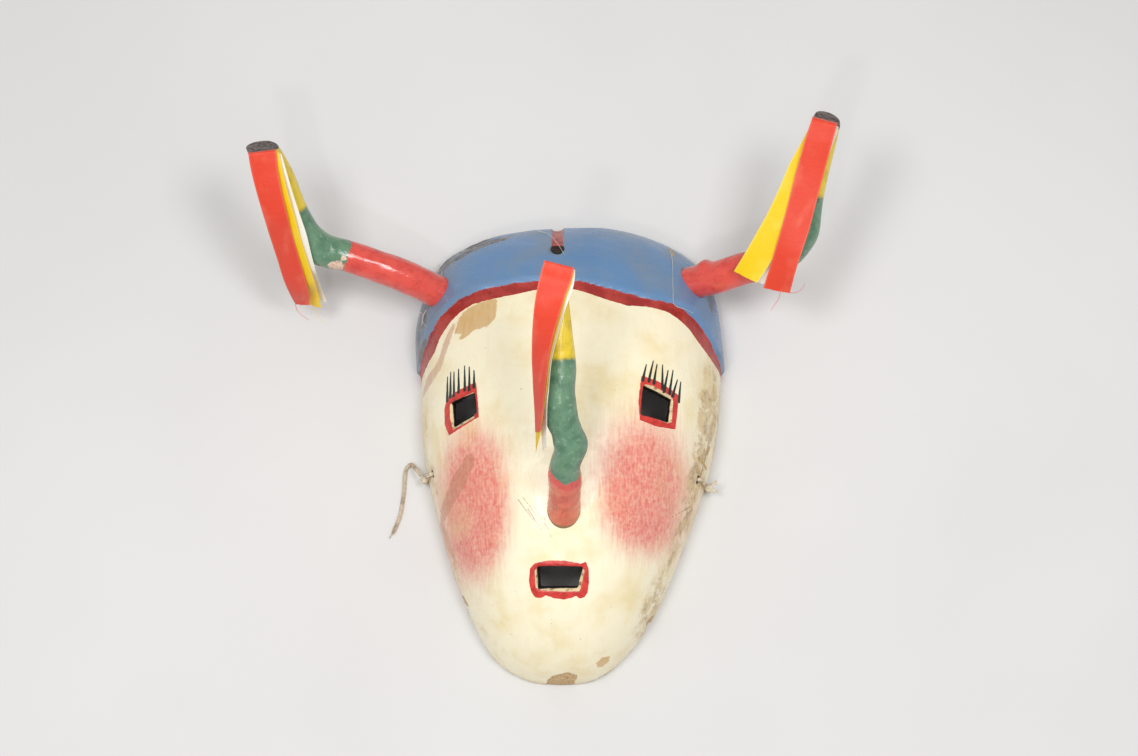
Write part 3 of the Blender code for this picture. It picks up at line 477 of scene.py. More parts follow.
class Finish:
    """A material and short ways to add its nodes."""

    def __init__(self, name, roughness=0.5):
        self.material = bpy.data.materials.new(name)
        self.material.use_nodes = True
        self.nodes = self.material.node_tree.nodes
        self.shader = self.nodes["Principled BSDF"]
        self.shader.inputs["Roughness"].default_value = roughness
        self.place = self.nodes.new("ShaderNodeTexCoord").outputs["Object"]

    def feed(self, socket, value):
        if isinstance(value, bpy.types.NodeSocket):
            self.material.node_tree.links.new(value, socket)
        else:
            socket.default_value = value

    def read(self, name):
        node = self.nodes.new("ShaderNodeAttribute")
        node.attribute_name = name
        return node.outputs["Fac"]

    def calc(self, operation, a, b=0.0):
        node = self.nodes.new("ShaderNodeMath")
        node.operation = operation
        self.feed(node.inputs[0], a)
        self.feed(node.inputs[1], b)
        return node.outputs[0]

    def times(self, a, b):
        return self.calc("MULTIPLY", a, b)

    def plus(self, a, b):
        return self.calc("ADD", a, b)

    def around(self, share, width):
        """A share 0 to 1 as a value around zero."""
        return self.times(self.calc("SUBTRACT", share, 0.5), width)

    def step(self, value, low, high):
        """0 below low and 1 above high, smooth between."""
        node = self.nodes.new("ShaderNodeMapRange")
        node.interpolation_type = "SMOOTHSTEP"
        self.feed(node.inputs["Value"], value)
        node.inputs["From Min"].default_value = low
        node.inputs["From Max"].default_value = high
        return node.outputs["Result"]

    def span(self, value, low, high):
        """The share 0 to 1 turned into a value between low and high."""
        node = self.nodes.new("ShaderNodeMapRange")
        self.feed(node.inputs["Value"], value)
        node.inputs["To Min"].default_value = low
        node.inputs["To Max"].default_value = high
        return node.outputs["Result"]

    def stretch(self, x, y, z, turn=0.0):
        node = self.nodes.new("ShaderNodeMapping")
        self.feed(node.inputs["Vector"], self.place)
        node.inputs["Scale"].default_value = (x, y, z)
        node.inputs["Rotation"].default_value = (0.0, 0.0, turn)
        return node.outputs["Vector"]

    def noise(self, scale, detail=3.0, vector=None, roughness=0.55):
        node = self.nodes.new("ShaderNodeTexNoise")
        self.feed(node.inputs["Vector"], self.place if vector is None else vector)
        node.inputs["Scale"].default_value = scale
        node.inputs["Detail"].default_value = detail
        node.inputs["Roughness"].default_value = roughness
        return node.outputs["Fac"]

    def join(self, *values):
        """Several single values as one vector."""
        node = self.nodes.new("ShaderNodeCombineXYZ")
        for socket, value in zip(node.inputs, values):
            self.feed(socket, value)
        return node.outputs["Vector"]

    def blend(self, share, a, b, kind="MIX"):
        node = self.nodes.new("ShaderNodeMix")
        node.data_type = "RGBA"
        node.blend_type = kind
        self.feed(node.inputs[0], share)
        self.feed(node.inputs[6], a)
        self.feed(node.inputs[7], b)
        return node.outputs[2]

    def bump(self, height, distance, strength=1.0):
        node = self.nodes.new("ShaderNodeBump")
        node.inputs["Strength"].default_value = strength
        node.inputs["Distance"].default_value = distance
        self.feed(node.inputs["Height"], height)
        self.feed(self.shader.inputs["Normal"], node.outputs["Normal"])

    def set(self, name, value):
        self.feed(self.shader.inputs[name], value)


CREAM = linear(250, 241, 211)
CREAM_SHADE = linear(239, 221, 172)
CAP_BLUE = linear(99, 138, 181)
CAP_GREY = linear(120, 140, 162)
BAND_RED = linear(158, 42, 36)
GLOSS_RED = linear(224, 82, 70)
DEEP_RED = linear(204, 60, 54)
LASH = linear(34, 44, 40)
DIRT = linear(128, 92, 56)
# Brown of a streak by the brow and of a painted shadow down the left cheek
STREAK_AND_SHADOW_BROWN = linear(190, 128, 98)
TAN = linear(212, 172, 114)
RAW_WOOD = linear(218, 188, 140)
DARK_WOOD = linear(112, 78, 50)
# Near black painted into the holes and down the openings' walls as shade
HOLE_SHADE = linear(24, 18, 15)
GREEN = linear(104, 142, 112)
DARK_GREEN = linear(78, 118, 92)
YELLOW = linear(234, 204, 46)
OCHRE = linear(206, 176, 40)


def face_finish():
    f = Finish("oil paint on carved wood")
    edge = f.around(f.noise(420, 3), 1.6)
    cloud = f.noise(38, 4)
    strokes = f.noise(60, 4, f.stretch(5.0, 1.0, 1.0))
    colour = f.blend(f.step(cloud, 0.42, 0.75), CREAM, CREAM_SHADE)
    colour = f.blend(f.times(f.step(strokes, 0.5, 0.8), 0.35), colour, CREAM_SHADE)
    streaks = f.noise(150, 4, f.stretch(4.5, 0.45, 1.0))
    blush = f.read("blush")
    rub = f.plus(blush, f.around(streaks, 0.6))
    rub = f.times(f.step(rub, 0.02, 0.95), f.step(blush, 0.02, 0.2))
    fine = f.noise(430, 4, f.stretch(2.4, 0.4, 1.0))
    pink = f.blend(f.step(fine, 0.36, 0.62), linear(236, 142, 126), linear(220, 100, 96))
    mottle = f.step(f.noise(520, 5, roughness=0.7), 0.4, 0.7)
    colour = f.blend(f.times(rub, f.span(mottle, 0.92, 0.62)), colour, pink)
    haze = f.step(f.noise(26, 5), 0.52, 0.75)
    colour = f.blend(f.times(haze, f.span(f.noise(150, 5), 0.1, 0.6)), colour,
                     linear(228, 204, 146))
    # A brown streak by the brow, and a painted shadow down the left cheek
    dark_patch = f.step(f.plus(f.read("dark_patch"), edge), -0.25, 0.5)
    patchy = f.span(f.noise(180, 4, f.stretch(1.0, 0.35, 1.0)), 0.25, 0.85)
    colour = f.blend(f.times(dark_patch, patchy), colour, STREAK_AND_SHADOW_BROWN)
    tan = f.step(f.plus(f.read("tan"), f.times(edge, 1.5)), -0.3, 0.35)
    bare_strokes = f.span(f.noise(240, 4, f.stretch(3.0, 0.6, 1.0, 0.6)), 0.6, 1.1)
    colour = f.blend(f.times(tan, bare_strokes), colour, TAN)
    # Dirt, with painted shade at the foot of the nose
    dirt_and_shade = f.read("dirt_and_shade")
    grain = f.step(f.noise(95, 8, roughness=0.75), 0.38, 0.62)
    dark = f.step(f.times(dirt_and_shade, f.span(grain, 0.25, 1.5)), 0.22, 1.25)
    soil = f.blend(f.step(f.noise(210, 7, roughness=0.75), 0.46, 0.64), linear(210, 180, 128), DIRT)
    colour = f.blend(f.times(dark, 0.66), colour, soil)
    scratch = f.step(f.plus(f.read("scratch"), f.times(edge, 0.12)), -0.06, 0.06)
    colour = f.blend(f.times(scratch, 0.55), colour, DARK_WOOD)
    for name in ("eye", "mouth"):
        border = f.step(f.plus(f.read(name), f.times(edge, 0.5)), -0.1, 0.1)
        paint = f.blend(f.step(f.noise(260, 4), 0.4, 0.62), linear(214, 64, 56), linear(190, 48, 42))
        colour = f.blend(border, colour, paint)
    bevel = f.step(f.plus(f.read("bevel"), f.times(edge, 0.3)), -0.08, 0.12)
    colour = f.blend(bevel, colour, f.blend(f.step(f.noise(420, 5), 0.5, 0.66),
                                            linear(226, 204, 160), linear(146, 112, 74)))
    lash = f.step(f.plus(f.read("lash"), f.times(edge, 0.12)), -0.09, 0.07)
    colour = f.blend(lash, colour, LASH)
    band = f.step(f.plus(f.read("band"), f.times(edge, 0.55)), -0.12, 0.12)
    band_paint = f.blend(f.step(f.noise(110, 4), 0.4, 0.66), BAND_RED, linear(182, 62, 52))
    band_paint = f.blend(f.times(f.step(f.noise(260, 3), 0.58, 0.72), 0.6),
                         band_paint, linear(92, 34, 34))
    colour = f.blend(band, colour, band_paint)
    cap = f.step(f.plus(f.read("cap"), f.times(edge, 0.7)), -0.15, 0.15)
    blue = f.blend(f.step(f.noise(34, 5), 0.4, 0.7), CAP_BLUE, CAP_GREY)
    blue = f.blend(f.times(f.step(f.noise(95, 5, f.stretch(0.5, 2.0, 1.0)), 0.5, 0.8),
                          0.5), blue, linear(116, 152, 196))
    blue = f.blend(f.times(dark, 0.85), blue, linear(88, 84, 84))
    blue = f.blend(f.times(f.read("grey"), 0.7), blue, linear(122, 134, 148))
    worn = f.plus(f.read("worn"), f.around(f.noise(330, 6, roughness=0.7), 1.7))
    blue = f.blend(f.times(f.step(worn, 0.4, 0.75), 0.85), blue, linear(112, 106, 102))
    colour = f.blend(cap, colour, blue)
    specks = f.times(f.step(f.noise(700, 1), 0.74, 0.78), f.step(dirt_and_shade, 0.1, 0.5))
    colour = f.blend(f.times(specks, f.times(cap, 0.7)), colour, CREAM)
    groove = f.step(f.read("groove"), 0.1, 0.3)
    colour = f.blend(groove, colour, f.blend(f.step(f.noise(400, 3), 0.45, 0.62),
                                             linear(188, 62, 52), linear(112, 50, 42)))
    bare = f.step(f.plus(f.read("bare"), f.times(edge, 0.6)), -0.1, 0.2)
    wood = f.blend(f.step(f.noise(260, 5, f.stretch(6.0, 0.7, 3.0)), 0.35, 0.7), RAW_WOOD,
                   linear(168, 130, 86))
    colour = f.blend(bare, colour, wood)
    inside = f.read("inside")
    grainy = f.noise(160, 6, f.stretch(4.0, 0.35, 2.0))
    within = f.blend(f.step(grainy, 0.35, 0.7), linear(150, 112, 74), DARK_WOOD)
    within = f.blend(f.step(f.noise(22, 4), 0.5, 0.75), within, linear(82, 58, 40))
    # The walls of the openings: pale wood at the lip, then painted shade deeper in, dark brown with
    # patches of near black
    cut = f.blend(f.step(inside, 0.16, 0.42), f.blend(0.35, CREAM, RAW_WOOD),
                  linear(84, 58, 40))
    cut = f.blend(f.times(f.step(f.noise(240, 4), 0.5, 0.7), 0.6), cut, HOLE_SHADE)
    within = f.blend(f.step(inside, 0.9, 0.99), cut, within)
    colour = f.blend(f.step(inside, 0.015, 0.05), colour, within)
    # Painted shade: near black in the drilled holes and sockets, down the walls of the eyes and mouth,
    # and round the lip of the hanging hole
    hole_shade = f.plus(f.read("hole_shade"), f.around(f.noise(280, 5), 1.4))
    hole_shade = f.step(hole_shade, 0.25, 0.6)
    colour = f.blend(f.times(hole_shade, 0.93), colour, HOLE_SHADE)
    f.set("Base Color", colour)
    rough = f.span(f.step(f.noise(70, 4), 0.3, 0.8), 0.24, 0.4)
    rough = f.plus(rough, f.times(hole_shade, 0.6))
    rough = f.plus(rough, f.times(dark, 0.3))
    rough = f.plus(rough, f.times(f.step(inside, 0.01, 0.1), 0.45))
    rough = f.plus(rough, f.times(bare, 0.35))
    f.set("Roughness", f.calc("MINIMUM", rough, 0.9))
    height = f.plus(f.times(f.noise(240, 4, f.stretch(3.0, 0.8, 1.0)), 0.5),
                    f.times(f.noise(800, 3), 0.25))
    f.bump(height, 0.00035, 0.5)
    return f.material


def branch_finish(name, red_end, green_end, ringed=False, slant=0.0):
    """Gloss paint in red, green and yellow along a branch; ends in millimetres from its root."""
    f = Finish(name)
    along = f.read("along")
    wander = f.around(f.noise(160, 3), 5.0)
    here = f.plus(along, wander)
    start = f.plus(here, f.times(f.calc("MINIMUM", f.read("aside"), 0.0), slant))
    blotch = f.noise(140, 5)
    red = f.blend(f.step(blotch, 0.4, 0.75), GLOSS_RED, DEEP_RED)
    if ringed:
        stem = f.blend(f.step(f.noise(130, 4), 0.4, 0.65), linear(226, 110, 84), linear(204, 88, 66))
        red = f.blend(f.step(start, red_end - 5.5, red_end - 4.0), stem, red)
    lines = f.noise(95, 3, f.join(f.times(f.read("around"), 0.035),
                                  f.times(along, 0.0016), 0.0))
    red = f.blend(f.times(f.step(lines, 0.55, 0.7), 0.35), red, linear(168, 42, 40))
    green = f.blend(f.step(blotch, 0.36, 0.68), GREEN, DARK_GREEN)
    # Pale green flecks: painted glints
    green = f.blend(f.times(f.step(f.noise(430, 5), 0.56, 0.7), 0.5), green,
                    linear(150, 178, 150))
    yellow = f.blend(f.step(blotch, 0.45, 0.72), YELLOW, OCHRE)
    colour = f.blend(f.step(start, red_end - 0.35, red_end + 0.35), red, green)
    rim = f.calc("SUBTRACT", 1.0, f.step(f.calc("ABSOLUTE", f.calc("SUBTRACT", here, green_end)),
                                         0.0, 1.6))
    colour = f.blend(f.step(here, green_end - 0.35, green_end + 0.35), colour, yellow)
    colour = f.blend(f.times(rim, 0.7), colour, OCHRE)
    bare = f.step(f.plus(f.read("bare"), f.around(f.noise(420, 3), 1.4)), -0.1, 0.12)
    colour = f.blend(bare, colour, f.blend(f.step(f.noise(900, 2), 0.5, 0.64),
                                           linear(226, 196, 176), linear(190, 150, 128)))
    knot = f.step(f.read("dark"), 0.3, 0.8)
    colour = f.blend(f.times(knot, 0.8), colour, linear(38, 32, 28))
    end = f.read("end")
    sawn = f.blend(f.step(f.noise(480, 5), 0.36, 0.66), linear(118, 106, 100), linear(58, 48, 44))
    rough_end = f.plus(end, f.around(f.noise(380, 4), 0.8))
    colour = f.blend(f.step(rough_end, 0.4, 0.6), colour, sawn)
    peg = f.step(f.times(along, -1.0), 3.0, 4.0)
    colour = f.blend(peg, colour, linear(140, 104, 70))
    f.set("Base Color", colour)
    rough = f.plus(f.span(f.step(blotch, 0.3, 0.7), 0.08, 0.18),
                   f.times(f.calc("MAXIMUM", end, bare), 0.5))
    f.set("Roughness", f.calc("MINIMUM", rough, 0.9))
    f.set("Specular IOR Level", 0.8)
    f.bump(f.plus(f.noise(300, 5, roughness=0.62), f.times(lines, 0.8)),
           0.0005 if ringed else 0.0003, 0.7)
    return f.material


def satin_finish(name, body, shade, dots_and_sheen):
    """Satin ribbon: a fine cross weave, long warp threads, a woven edge and long pale patches of
    painted sheen.
    """
    f = Finish(name, 0.42)
    across = f.read("across")
    down = f.read("down")
    weave = f.noise(1.0, 2, f.join(f.times(across, 26.0),
                                   f.times(down, 0.9), 0.0))
    rows = f.noise(1.0, 1, f.join(f.times(across, 1.2),
                                  f.times(down, 3.2), 3.0))
    dotted = f.step(f.calc("SINE", f.times(down, 5.46)), -0.1, 0.5)
    # Painted sheen: long pale patches
    painted_sheen = f.noise(1.0, 2, f.join(f.times(across, 0.7),
                                   f.times(down, 0.06), 7.0))
    colour = f.blend(f.times(f.step(weave, 0.42, 0.68), 0.5), body, shade)
    colour = f.blend(f.times(f.step(rows, 0.45, 0.7), 0.35), colour, shade)
    colour = f.blend(f.times(f.step(painted_sheen, 0.5, 0.75), 0.3), colour, dots_and_sheen)
    edge = f.step(f.calc("ABSOLUTE", across), 0.86, 0.95)
    colour = f.blend(f.times(edge, f.times(dotted, 0.8)), colour, dots_and_sheen)
    f.set("Base Color", colour)
    f.set("Roughness", f.span(weave, 0.34, 0.6))
    f.set("Specular IOR Level", 0.3)
    f.set("Sheen Weight", 0.04)
    f.set("Sheen Roughness", 0.4)
    f.bump(f.plus(weave, f.times(rows, 0.8)), 0.00012, 0.6)
    return f.material


def cord_finish(name, pale, soiled):
    f = Finish(name, 0.85)
    patch = f.step(f.noise(190, 4), 0.42, 0.66)
    colour = f.blend(patch, pale, soiled)
    colour = f.blend(f.times(f.step(f.noise(1600, 2), 0.5, 0.7), 0.5), colour,
                     linear(120, 100, 78))
    f.set("Base Color", colour)
    f.set("Sheen Weight", 0.3)
    f.bump(f.noise(2600, 2), 0.0002, 0.7)
    return f.material


def floor_finish():
    f = Finish("pale paper", 0.75)
    colour = f.blend(f.step(f.noise(3.0, 3), 0.35, 0.7), linear(222, 221, 220), linear(217, 216, 215))
    f.set("Base Color", colour)
    return f.material


# Meshes

def add_piece(name, verts, faces, finish, attributes=None, node=None, smooth=38):
    """One mesh object in the row frame that rides on the mask, with its values for the shader."""
    mesh = bpy.data.meshes.new(name)
    rows = np.array([tuple(vert) for vert in verts], dtype=np.float64) + ROW
    mesh.from_pydata(rows.tolist(), [], faces)
    shape = bmesh.new()
    shape.from_mesh(mesh)
    bmesh.ops.recalc_face_normals(shape, faces=shape.faces)
    shape.to_mesh(mesh)
    shape.free()
    for key, values in (attributes or {}).items():
        store = mesh.attributes.new(key, "FLOAT", "POINT")
        store.data.foreach_set("value", np.asarray(values, dtype=np.float32))
    mesh.shade_smooth()
    mesh.set_sharp_from_angle(angle=math.radians(smooth))
    mesh.materials.append(finish)
    thing = bpy.data.objects.new(name, mesh)
    bpy.context.collection.objects.link(thing)
    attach(thing, "root")
    if node:
        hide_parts(*([node] if isinstance(node, str) else node))
    return thing


def band(low, high):
    """Faces between two closed rows of as many vertices."""
    count = len(low)
    return [(low[k], low[(k + 1) % count], high[(k + 1) % count], high[k]) for k in range(count)]


def strand(centres, radius, sides=8, closed=False, taper=None):
    """Vertices and faces of a round thread along the centres."""
    count = len(centres)
    around = centres[-3:] + centres + centres[:3] if closed else centres
    frames = frames_along(around)[3:-3] if closed else frames_along(centres)
    verts = []
    for i, (centre, (_, across, up)) in enumerate(zip(centres, frames)):
        here = radius * (taper(i / (count - 1)) if taper else 1.0)
        for k in range(sides):
            angle = 2 * math.pi * k / sides
            verts.append(centre + (across * math.cos(angle) + up * math.sin(angle)) * here)
    faces = []
    for i in range(count if closed else count - 1):
        low, high = i * sides, ((i + 1) % count) * sides
        faces += band(range(low, low + sides), range(high, high + sides))
    if not closed:
        faces.append(tuple(range(sides)))
        faces.append(tuple(range((count - 1) * sides, count * sides)))
    return verts, faces


def gather(parts):
    """Several sets of vertices and faces as one."""
    verts = []
    faces = []
    for more, new in parts:
        start = len(verts)
        verts += more
        faces += [tuple(start + k for k in face) for face in new]
    return verts, faces


def twisted(centres, radius, pitch, closed=False, strands=3):
    """A cord of three strands laid round each other."""
    count = len(centres)
    around = centres[-3:] + centres + centres[:3] if closed else centres
    frames = frames_along(around)[3:-3] if closed else frames_along(centres)
    lengths = [(centres[(i + 1) % count] - centres[i]).length for i in range(count)]
    total = sum(lengths) if closed else sum(lengths[:-1])
    turns = max(1, round(total / pitch))
    parts = []
    for number in range(strands):
        line = []
        gone = 0.0
        for i, (centre, (_, across, up)) in enumerate(zip(centres, frames)):
            angle = 2 * math.pi * (number / strands + turns * gone / total)
            line.append(centre + (across * math.cos(angle) + up * math.sin(angle)) * 0.48 * radius)
            gone += lengths[i]
        parts.append(strand(line, 0.54 * radius, 7, closed))
    return gather(parts)


# The shell is meshed as a flat round sheet, whose radius stands for the way down the dome
FLAT_RADIUS = 0.125
SLOPES = np.linspace(0.0, math.pi / 2, 900)


def arc_shares():
    radius = 0.105 * np.sin(SLOPES) ** (2 / DOME_POWER)
    height = MASK_DEPTH * np.cos(SLOPES) ** (2 * DOME_FALL)
    steps = np.hypot(np.diff(radius), np.diff(height))
    along = np.concatenate([[0.0], np.cumsum(steps)])
    return along / along[-1]


ARC_SHARES = arc_shares()


def flatten(points, inset):
    """Flat sheet positions of points on the dome with that inset."""
    arm = points[:, :2] - np.array(CENTRE)[:2]
    angle = np.arctan2(arm[:, 1], arm[:, 0])
    across = np.hypot(arm[:, 0], arm[:, 1]) / (rim_radius(angle) - inset)
    up = np.maximum(points[:, 2], 0.0) / (MASK_DEPTH - inset)
    slope = np.arctan2(across ** (DOME_POWER / 2), up ** (1 / (2 * DOME_FALL)))
    share = np.interp(slope, SLOPES, ARC_SHARES)
    return FLAT_RADIUS * share[:, None] * np.stack([np.cos(angle), np.sin(angle)], axis=-1)


def unflatten(flat):
    angle = np.arctan2(flat[:, 1], flat[:, 0])
    share = np.minimum(np.hypot(flat[:, 0], flat[:, 1]) / FLAT_RADIUS, 1.0)
    return angle, np.interp(share, ARC_SHARES, SLOPES)


def over(point, inset):
    """Negative inside the dome with that inset, positive outside."""
    arm = point - CENTRE
    across = math.hypot(arm.x, arm.y) / (rim_radius(math.atan2(arm.y, arm.x)) - inset)
    up = max(point.z, 0.0) / (MASK_DEPTH - inset)
    return across ** DOME_POWER + up ** (1 / DOME_FALL) - 1.0


def where_crosses(points, inset):
    """The place on a line of points, from inside to outside, where it leaves the dome."""
    before = over(points[0], inset)
    for first, second in zip(points, points[1:]):
        after = over(second, inset)
        if before <= 0.0 < after:
            return first.lerp(second, before / (before - after))
        before = after
    return points[-1]


def opening_loop(corners, inset, seed, shift=(0.0, 0.0)):
    """The outline of an eye or the mouth on the outside or the inside of the wall."""
    corners_in = [place(corner) for corner in corners]
    middle = sum(corners_in, Vector((0.0, 0.0, 0.0))) / len(corners_in)
    reach = sum((point - middle).length for point in corners_in) / len(corners_in)
    level = sum(on_dome(corner)[0].z for corner in corners) / len(corners)
    per_side = 30
    outline = []
    for i, corner in enumerate(corners_in):
        after = corners_in[(i + 1) % len(corners_in)]
        outline += [corner.lerp(after, k / per_side) for k in range(per_side)]
    for _ in range(5):
        count = len(outline)
        outline = [outline[k] * 0.5 + (outline[k - 1] + outline[(k + 1) % count]) * 0.25
                   for k in range(count)]
    made = []
    for k, point in enumerate(outline):
        wave = noise.noise(Vector((point.x * 260, point.y * 260, seed)))
        spread = point
        for _ in range(4):
            arm = spread - CENTRE
            angle = math.atan2(arm.y, arm.x)
            height = dome_point(angle, slope_at(angle, arm.length, inset), inset).z
            scale = 1.0 + OPENING_FLARE * (height - level) / reach + 0.00028 * wave / reach
            spread = middle + (point - middle) * scale
        arm = spread + Vector((*shift, 0.0)) * MM - CENTRE
        angle = math.atan2(arm.y, arm.x)
        made.append(dome_point(angle, slope_at(angle, arm.length, inset), inset))
    return np.array([tuple(p) for p in made])


def round_loop(point, normal, radius, inset, count=40):
    """The outline of a drilled hole on the dome with that inset."""
    across = normal.orthogonal().normalized()
    up = normal.cross(across)
    made = []
    for k in range(count):
        angle = 2 * math.pi * k / count
        wave = 1.0 + 0.05 * math.sin(3 * angle + 1.0)
        start = point + (across * math.cos(angle) + up * math.sin(angle)) * radius * wave
        line = [start + normal * (step * 0.001 - 0.024) for step in range(36)]
        made.append(where_crosses(line, inset))
    return np.array([tuple(p) for p in made])


def socket_loop(branch, inset, count=84):
    """The outline of a branch's socket on the dome with that inset."""
    first = branch.centres[0]
    behind = first - (branch.centres[1] - first).normalized() * PEG_LENGTH
    points = evenly([behind] + branch.centres[:9], 120)
    frames = frames_along(points)
    made = []
    for k in range(count):
        angle = 2 * math.pi * k / count
        line = []
        for centre, (_, across, up) in zip(points, frames):
            out = across * math.cos(angle) + up * math.sin(angle)
            gone = (centre - first).length if (centre - first).dot(branch.ways[0]) > 0 else 0.0
            share = gone / (branch.spacing * (BRANCH_RINGS - 1))
            radius = branch.radius(share) + 0.00008 + branch.swelling(share, out)
            line.append(centre + out * radius)
        made.append(where_crosses(line, inset))
    return np.array([tuple(p) for p in made])


def tree_of(rows):
    """A search tree over places with two or three values each."""
    tree = kdtree.KDTree(len(rows))
    for i, row in enumerate(rows):
        tree.insert((*row, 0.0)[:3], i)
    tree.balance()
    return tree


def nearest(flat, others):
    """Distance from each flat position to the nearest of the others."""
    tree = tree_of(others)
    return np.array([tree.find((x, y, 0.0))[2] for x, y in flat])


def in_box(points, low, high):
    return np.all((points > low) & (points < high), axis=1)


def inside_loop(points, loop):
    """Which plan positions lie inside a closed outline."""
    x, y = points[:, 0], points[:, 1]
    found = np.zeros(len(points), dtype=bool)
    near = ((x >= loop[:, 0].min()) & (x <= loop[:, 0].max())
            & (y >= loop[:, 1].min()) & (y <= loop[:, 1].max()))
    if not near.any():
        return found
    x, y = x[near], y[near]
    odd = np.zeros(len(x), dtype=bool)
    for (ax, ay), (bx, by) in zip(loop[:, :2], np.roll(loop[:, :2], -1, axis=0)):
        if ay == by:
            continue
        crosses = (ay > y) != (by > y)
        odd ^= crosses & (x < (bx - ax) * (y - ay) / (by - ay) + ax)
    found[near] = odd
    return found


def distances(points, line, reach=0.02):
    """Distance from each point to the nearest of a dense line's points."""
    tree = tree_of(line)
    made = np.full(len(points), reach)
    for i in np.nonzero(in_box(points, line.min(axis=0) - reach, line.max(axis=0) + reach))[0]:
        made[i] = min(tree.find(points[i])[2], reach)
    return made


def dense_line(points, spacing, closed=False):
    """Points as rows at a small spacing along straight steps between the given ones."""
    points = np.asarray(points, dtype=float)
    after = np.roll(points, -1, axis=0) if closed else points[1:]
    before = points if closed else points[:-1]
    rows = []
    for a, b in zip(before, after):
        count = max(1, int(np.linalg.norm(b - a) / spacing))
        rows.append(a + (b - a) * (np.arange(count) / count)[:, None])
    if not closed:
        rows.append(points[-1:])
    return np.concatenate(rows)


def on_face(table):
    """Plan positions in millimetres, put on the face's surface."""
    rows = np.asarray(table, dtype=float) * MM
    arm = rows[:, :2] - np.array(CENTRE)[:2]
    angle = np.arctan2(arm[:, 1], arm[:, 0])
    across = np.minimum(np.hypot(arm[:, 0], arm[:, 1]) / rim_radius(angle), 1.0)
    return dome_points(angle, np.arcsin(across ** (DOME_POWER / 2)), 0.0)


def signed(points, outline):
    """Millimetres from a closed outline on the face, positive inside it."""
    line = on_face(dense_line(outline, 0.15, closed=True))
    away = distances(points, line) / MM
    return np.where(inside_loop(points, line), away, -away)


def above(points, edge):
    """Millimetres from a line over the brow, positive above it."""
    edge = np.asarray(edge, dtype=float)
    away = distances(points, on_face(dense_line(edge, 0.15))) / MM
    level = np.interp(points[:, 0] / MM, edge[:, 0], edge[:, 1])
    return np.where(points[:, 1] / MM > level, away, -away)


def strokes(points, table):
    """Half width of the nearest tapered stroke less the distance to its line, in millimetres.

    Each row of the table is x and y of the start, x and y of the end, and both half widths."""
    plan = points[:, :2] / MM
    best = np.full(len(points), -3.0)
    for x0, y0, x1, y1, w0, w1 in table:
        start = np.array([x0, y0])
        way = np.array([x1 - x0, y1 - y0])
        share = np.clip((plan - start) @ way / (way @ way), 0.0, 1.0)
        away = np.hypot(*(plan - start - share[:, None] * way).T)
        best = np.maximum(best, w0 + (w1 - w0) * share - away)
    return best


def lash_stroke(x0, y0, x1, y1):
    """A lash that starts on the painted border and thins towards its tip."""
    back = (0.9 if x0 > 0 else 0.2) / math.hypot(x1 - x0, y1 - y0)
    return (x0 + (x0 - x1) * back, y0 + (y0 - y1) * back, x1, y1, 0.82, 0.3)


def blobs(points, table):
    """Sum of soft spots; rows are x, y, both radii in millimetres, turn in degrees, strength."""
    plan = points[:, :2] / MM
    total = np.zeros(len(points))
    for x, y, wide, tall, turn, strength in table:
        arm = plan - np.array([x, y])
        c, s = math.cos(math.radians(turn)), math.sin(math.radians(turn))
        a = (arm[:, 0] * c + arm[:, 1] * s) / wide
        b = (arm[:, 1] * c - arm[:, 0] * s) / tall
        total += strength * np.exp(-(a * a + b * b) ** 1.3)
    return total


def smoothstep(value, low, high):
    share = np.clip((value - low) / (high - low), 0.0, 1.0)
    return share * share * (3 - 2 * share)


def fractal(points, size, octaves=3, seed=0.0):
    """Smooth noise from about -1 to 1 with features of that size."""
    scaled = points / size + seed
    return np.array([noise.fractal(Vector(row), 0.9, 2.0, octaves) for row in scaled])


# Painted places in plan, in millimetres: outlines as points; strokes as both ends and both half
# widths; soft spots as a middle, two radii, a turn in degrees and a strength
BAND_EDGE = [
    (-92.0, 36.0), (-86.0, 41.5), (-81.5, 47.8), (-72.9, 55.9), (-69.5, 63.0), (-64.4, 69.5),
    (-59.0, 74.2), (-52.3, 77.4), (-45.0, 78.6), (-38.2, 79.8), (-28.0, 81.4), (-17.2, 83.9),
    (-8.0, 84.6), (2.1, 84.3), (11.0, 81.2), (20.9, 77.4), (31.6, 74.2), (42.0, 74.4),
    (52.7, 72.8), (58.5, 70.0), (64.3, 66.3), (69.0, 61.0), (73.5, 57.1), (78.5, 53.0),
    (83.0, 50.6), (88.0, 47.0), (94.0, 42.0),
]
LEFT_BORDER = [(-65.4, 26.8), (-62.0, 28.8), (-57.0, 30.4), (-49.4, 32.0), (-47.9, 20.0), (-47.6, 12.8),
               (-56.0, 9.3), (-64.0, 6.6), (-66.6, 13.6), (-66.8, 22.5)]
RIGHT_BORDER = [(38.2, 34.0), (48.2, 31.6), (58.6, 26.6), (57.4, 15.0), (56.4, 7.8),
                (46.0, 7.4), (37.0, 9.6), (36.4, 19.0)]
MOUTH_BORDER = [
    (-20.2, -68.1), (-18.1, -65.6), (-11.1, -64.4), (-2.1, -64.6), (5.7, -65.9), (8.7, -65.0),
    (10.2, -68.4), (10.4, -74.6), (9.6, -79.8), (8.0, -82.2), (5.2, -82.6), (3.6, -81.6),
    (1.2, -82.6), (-2.7, -83.2), (-7.8, -82.6), (-12.0, -81.2), (-14.5, -82.4), (-17.6, -82.0),
    (-19.8, -78.8), (-20.8, -73.4),
]
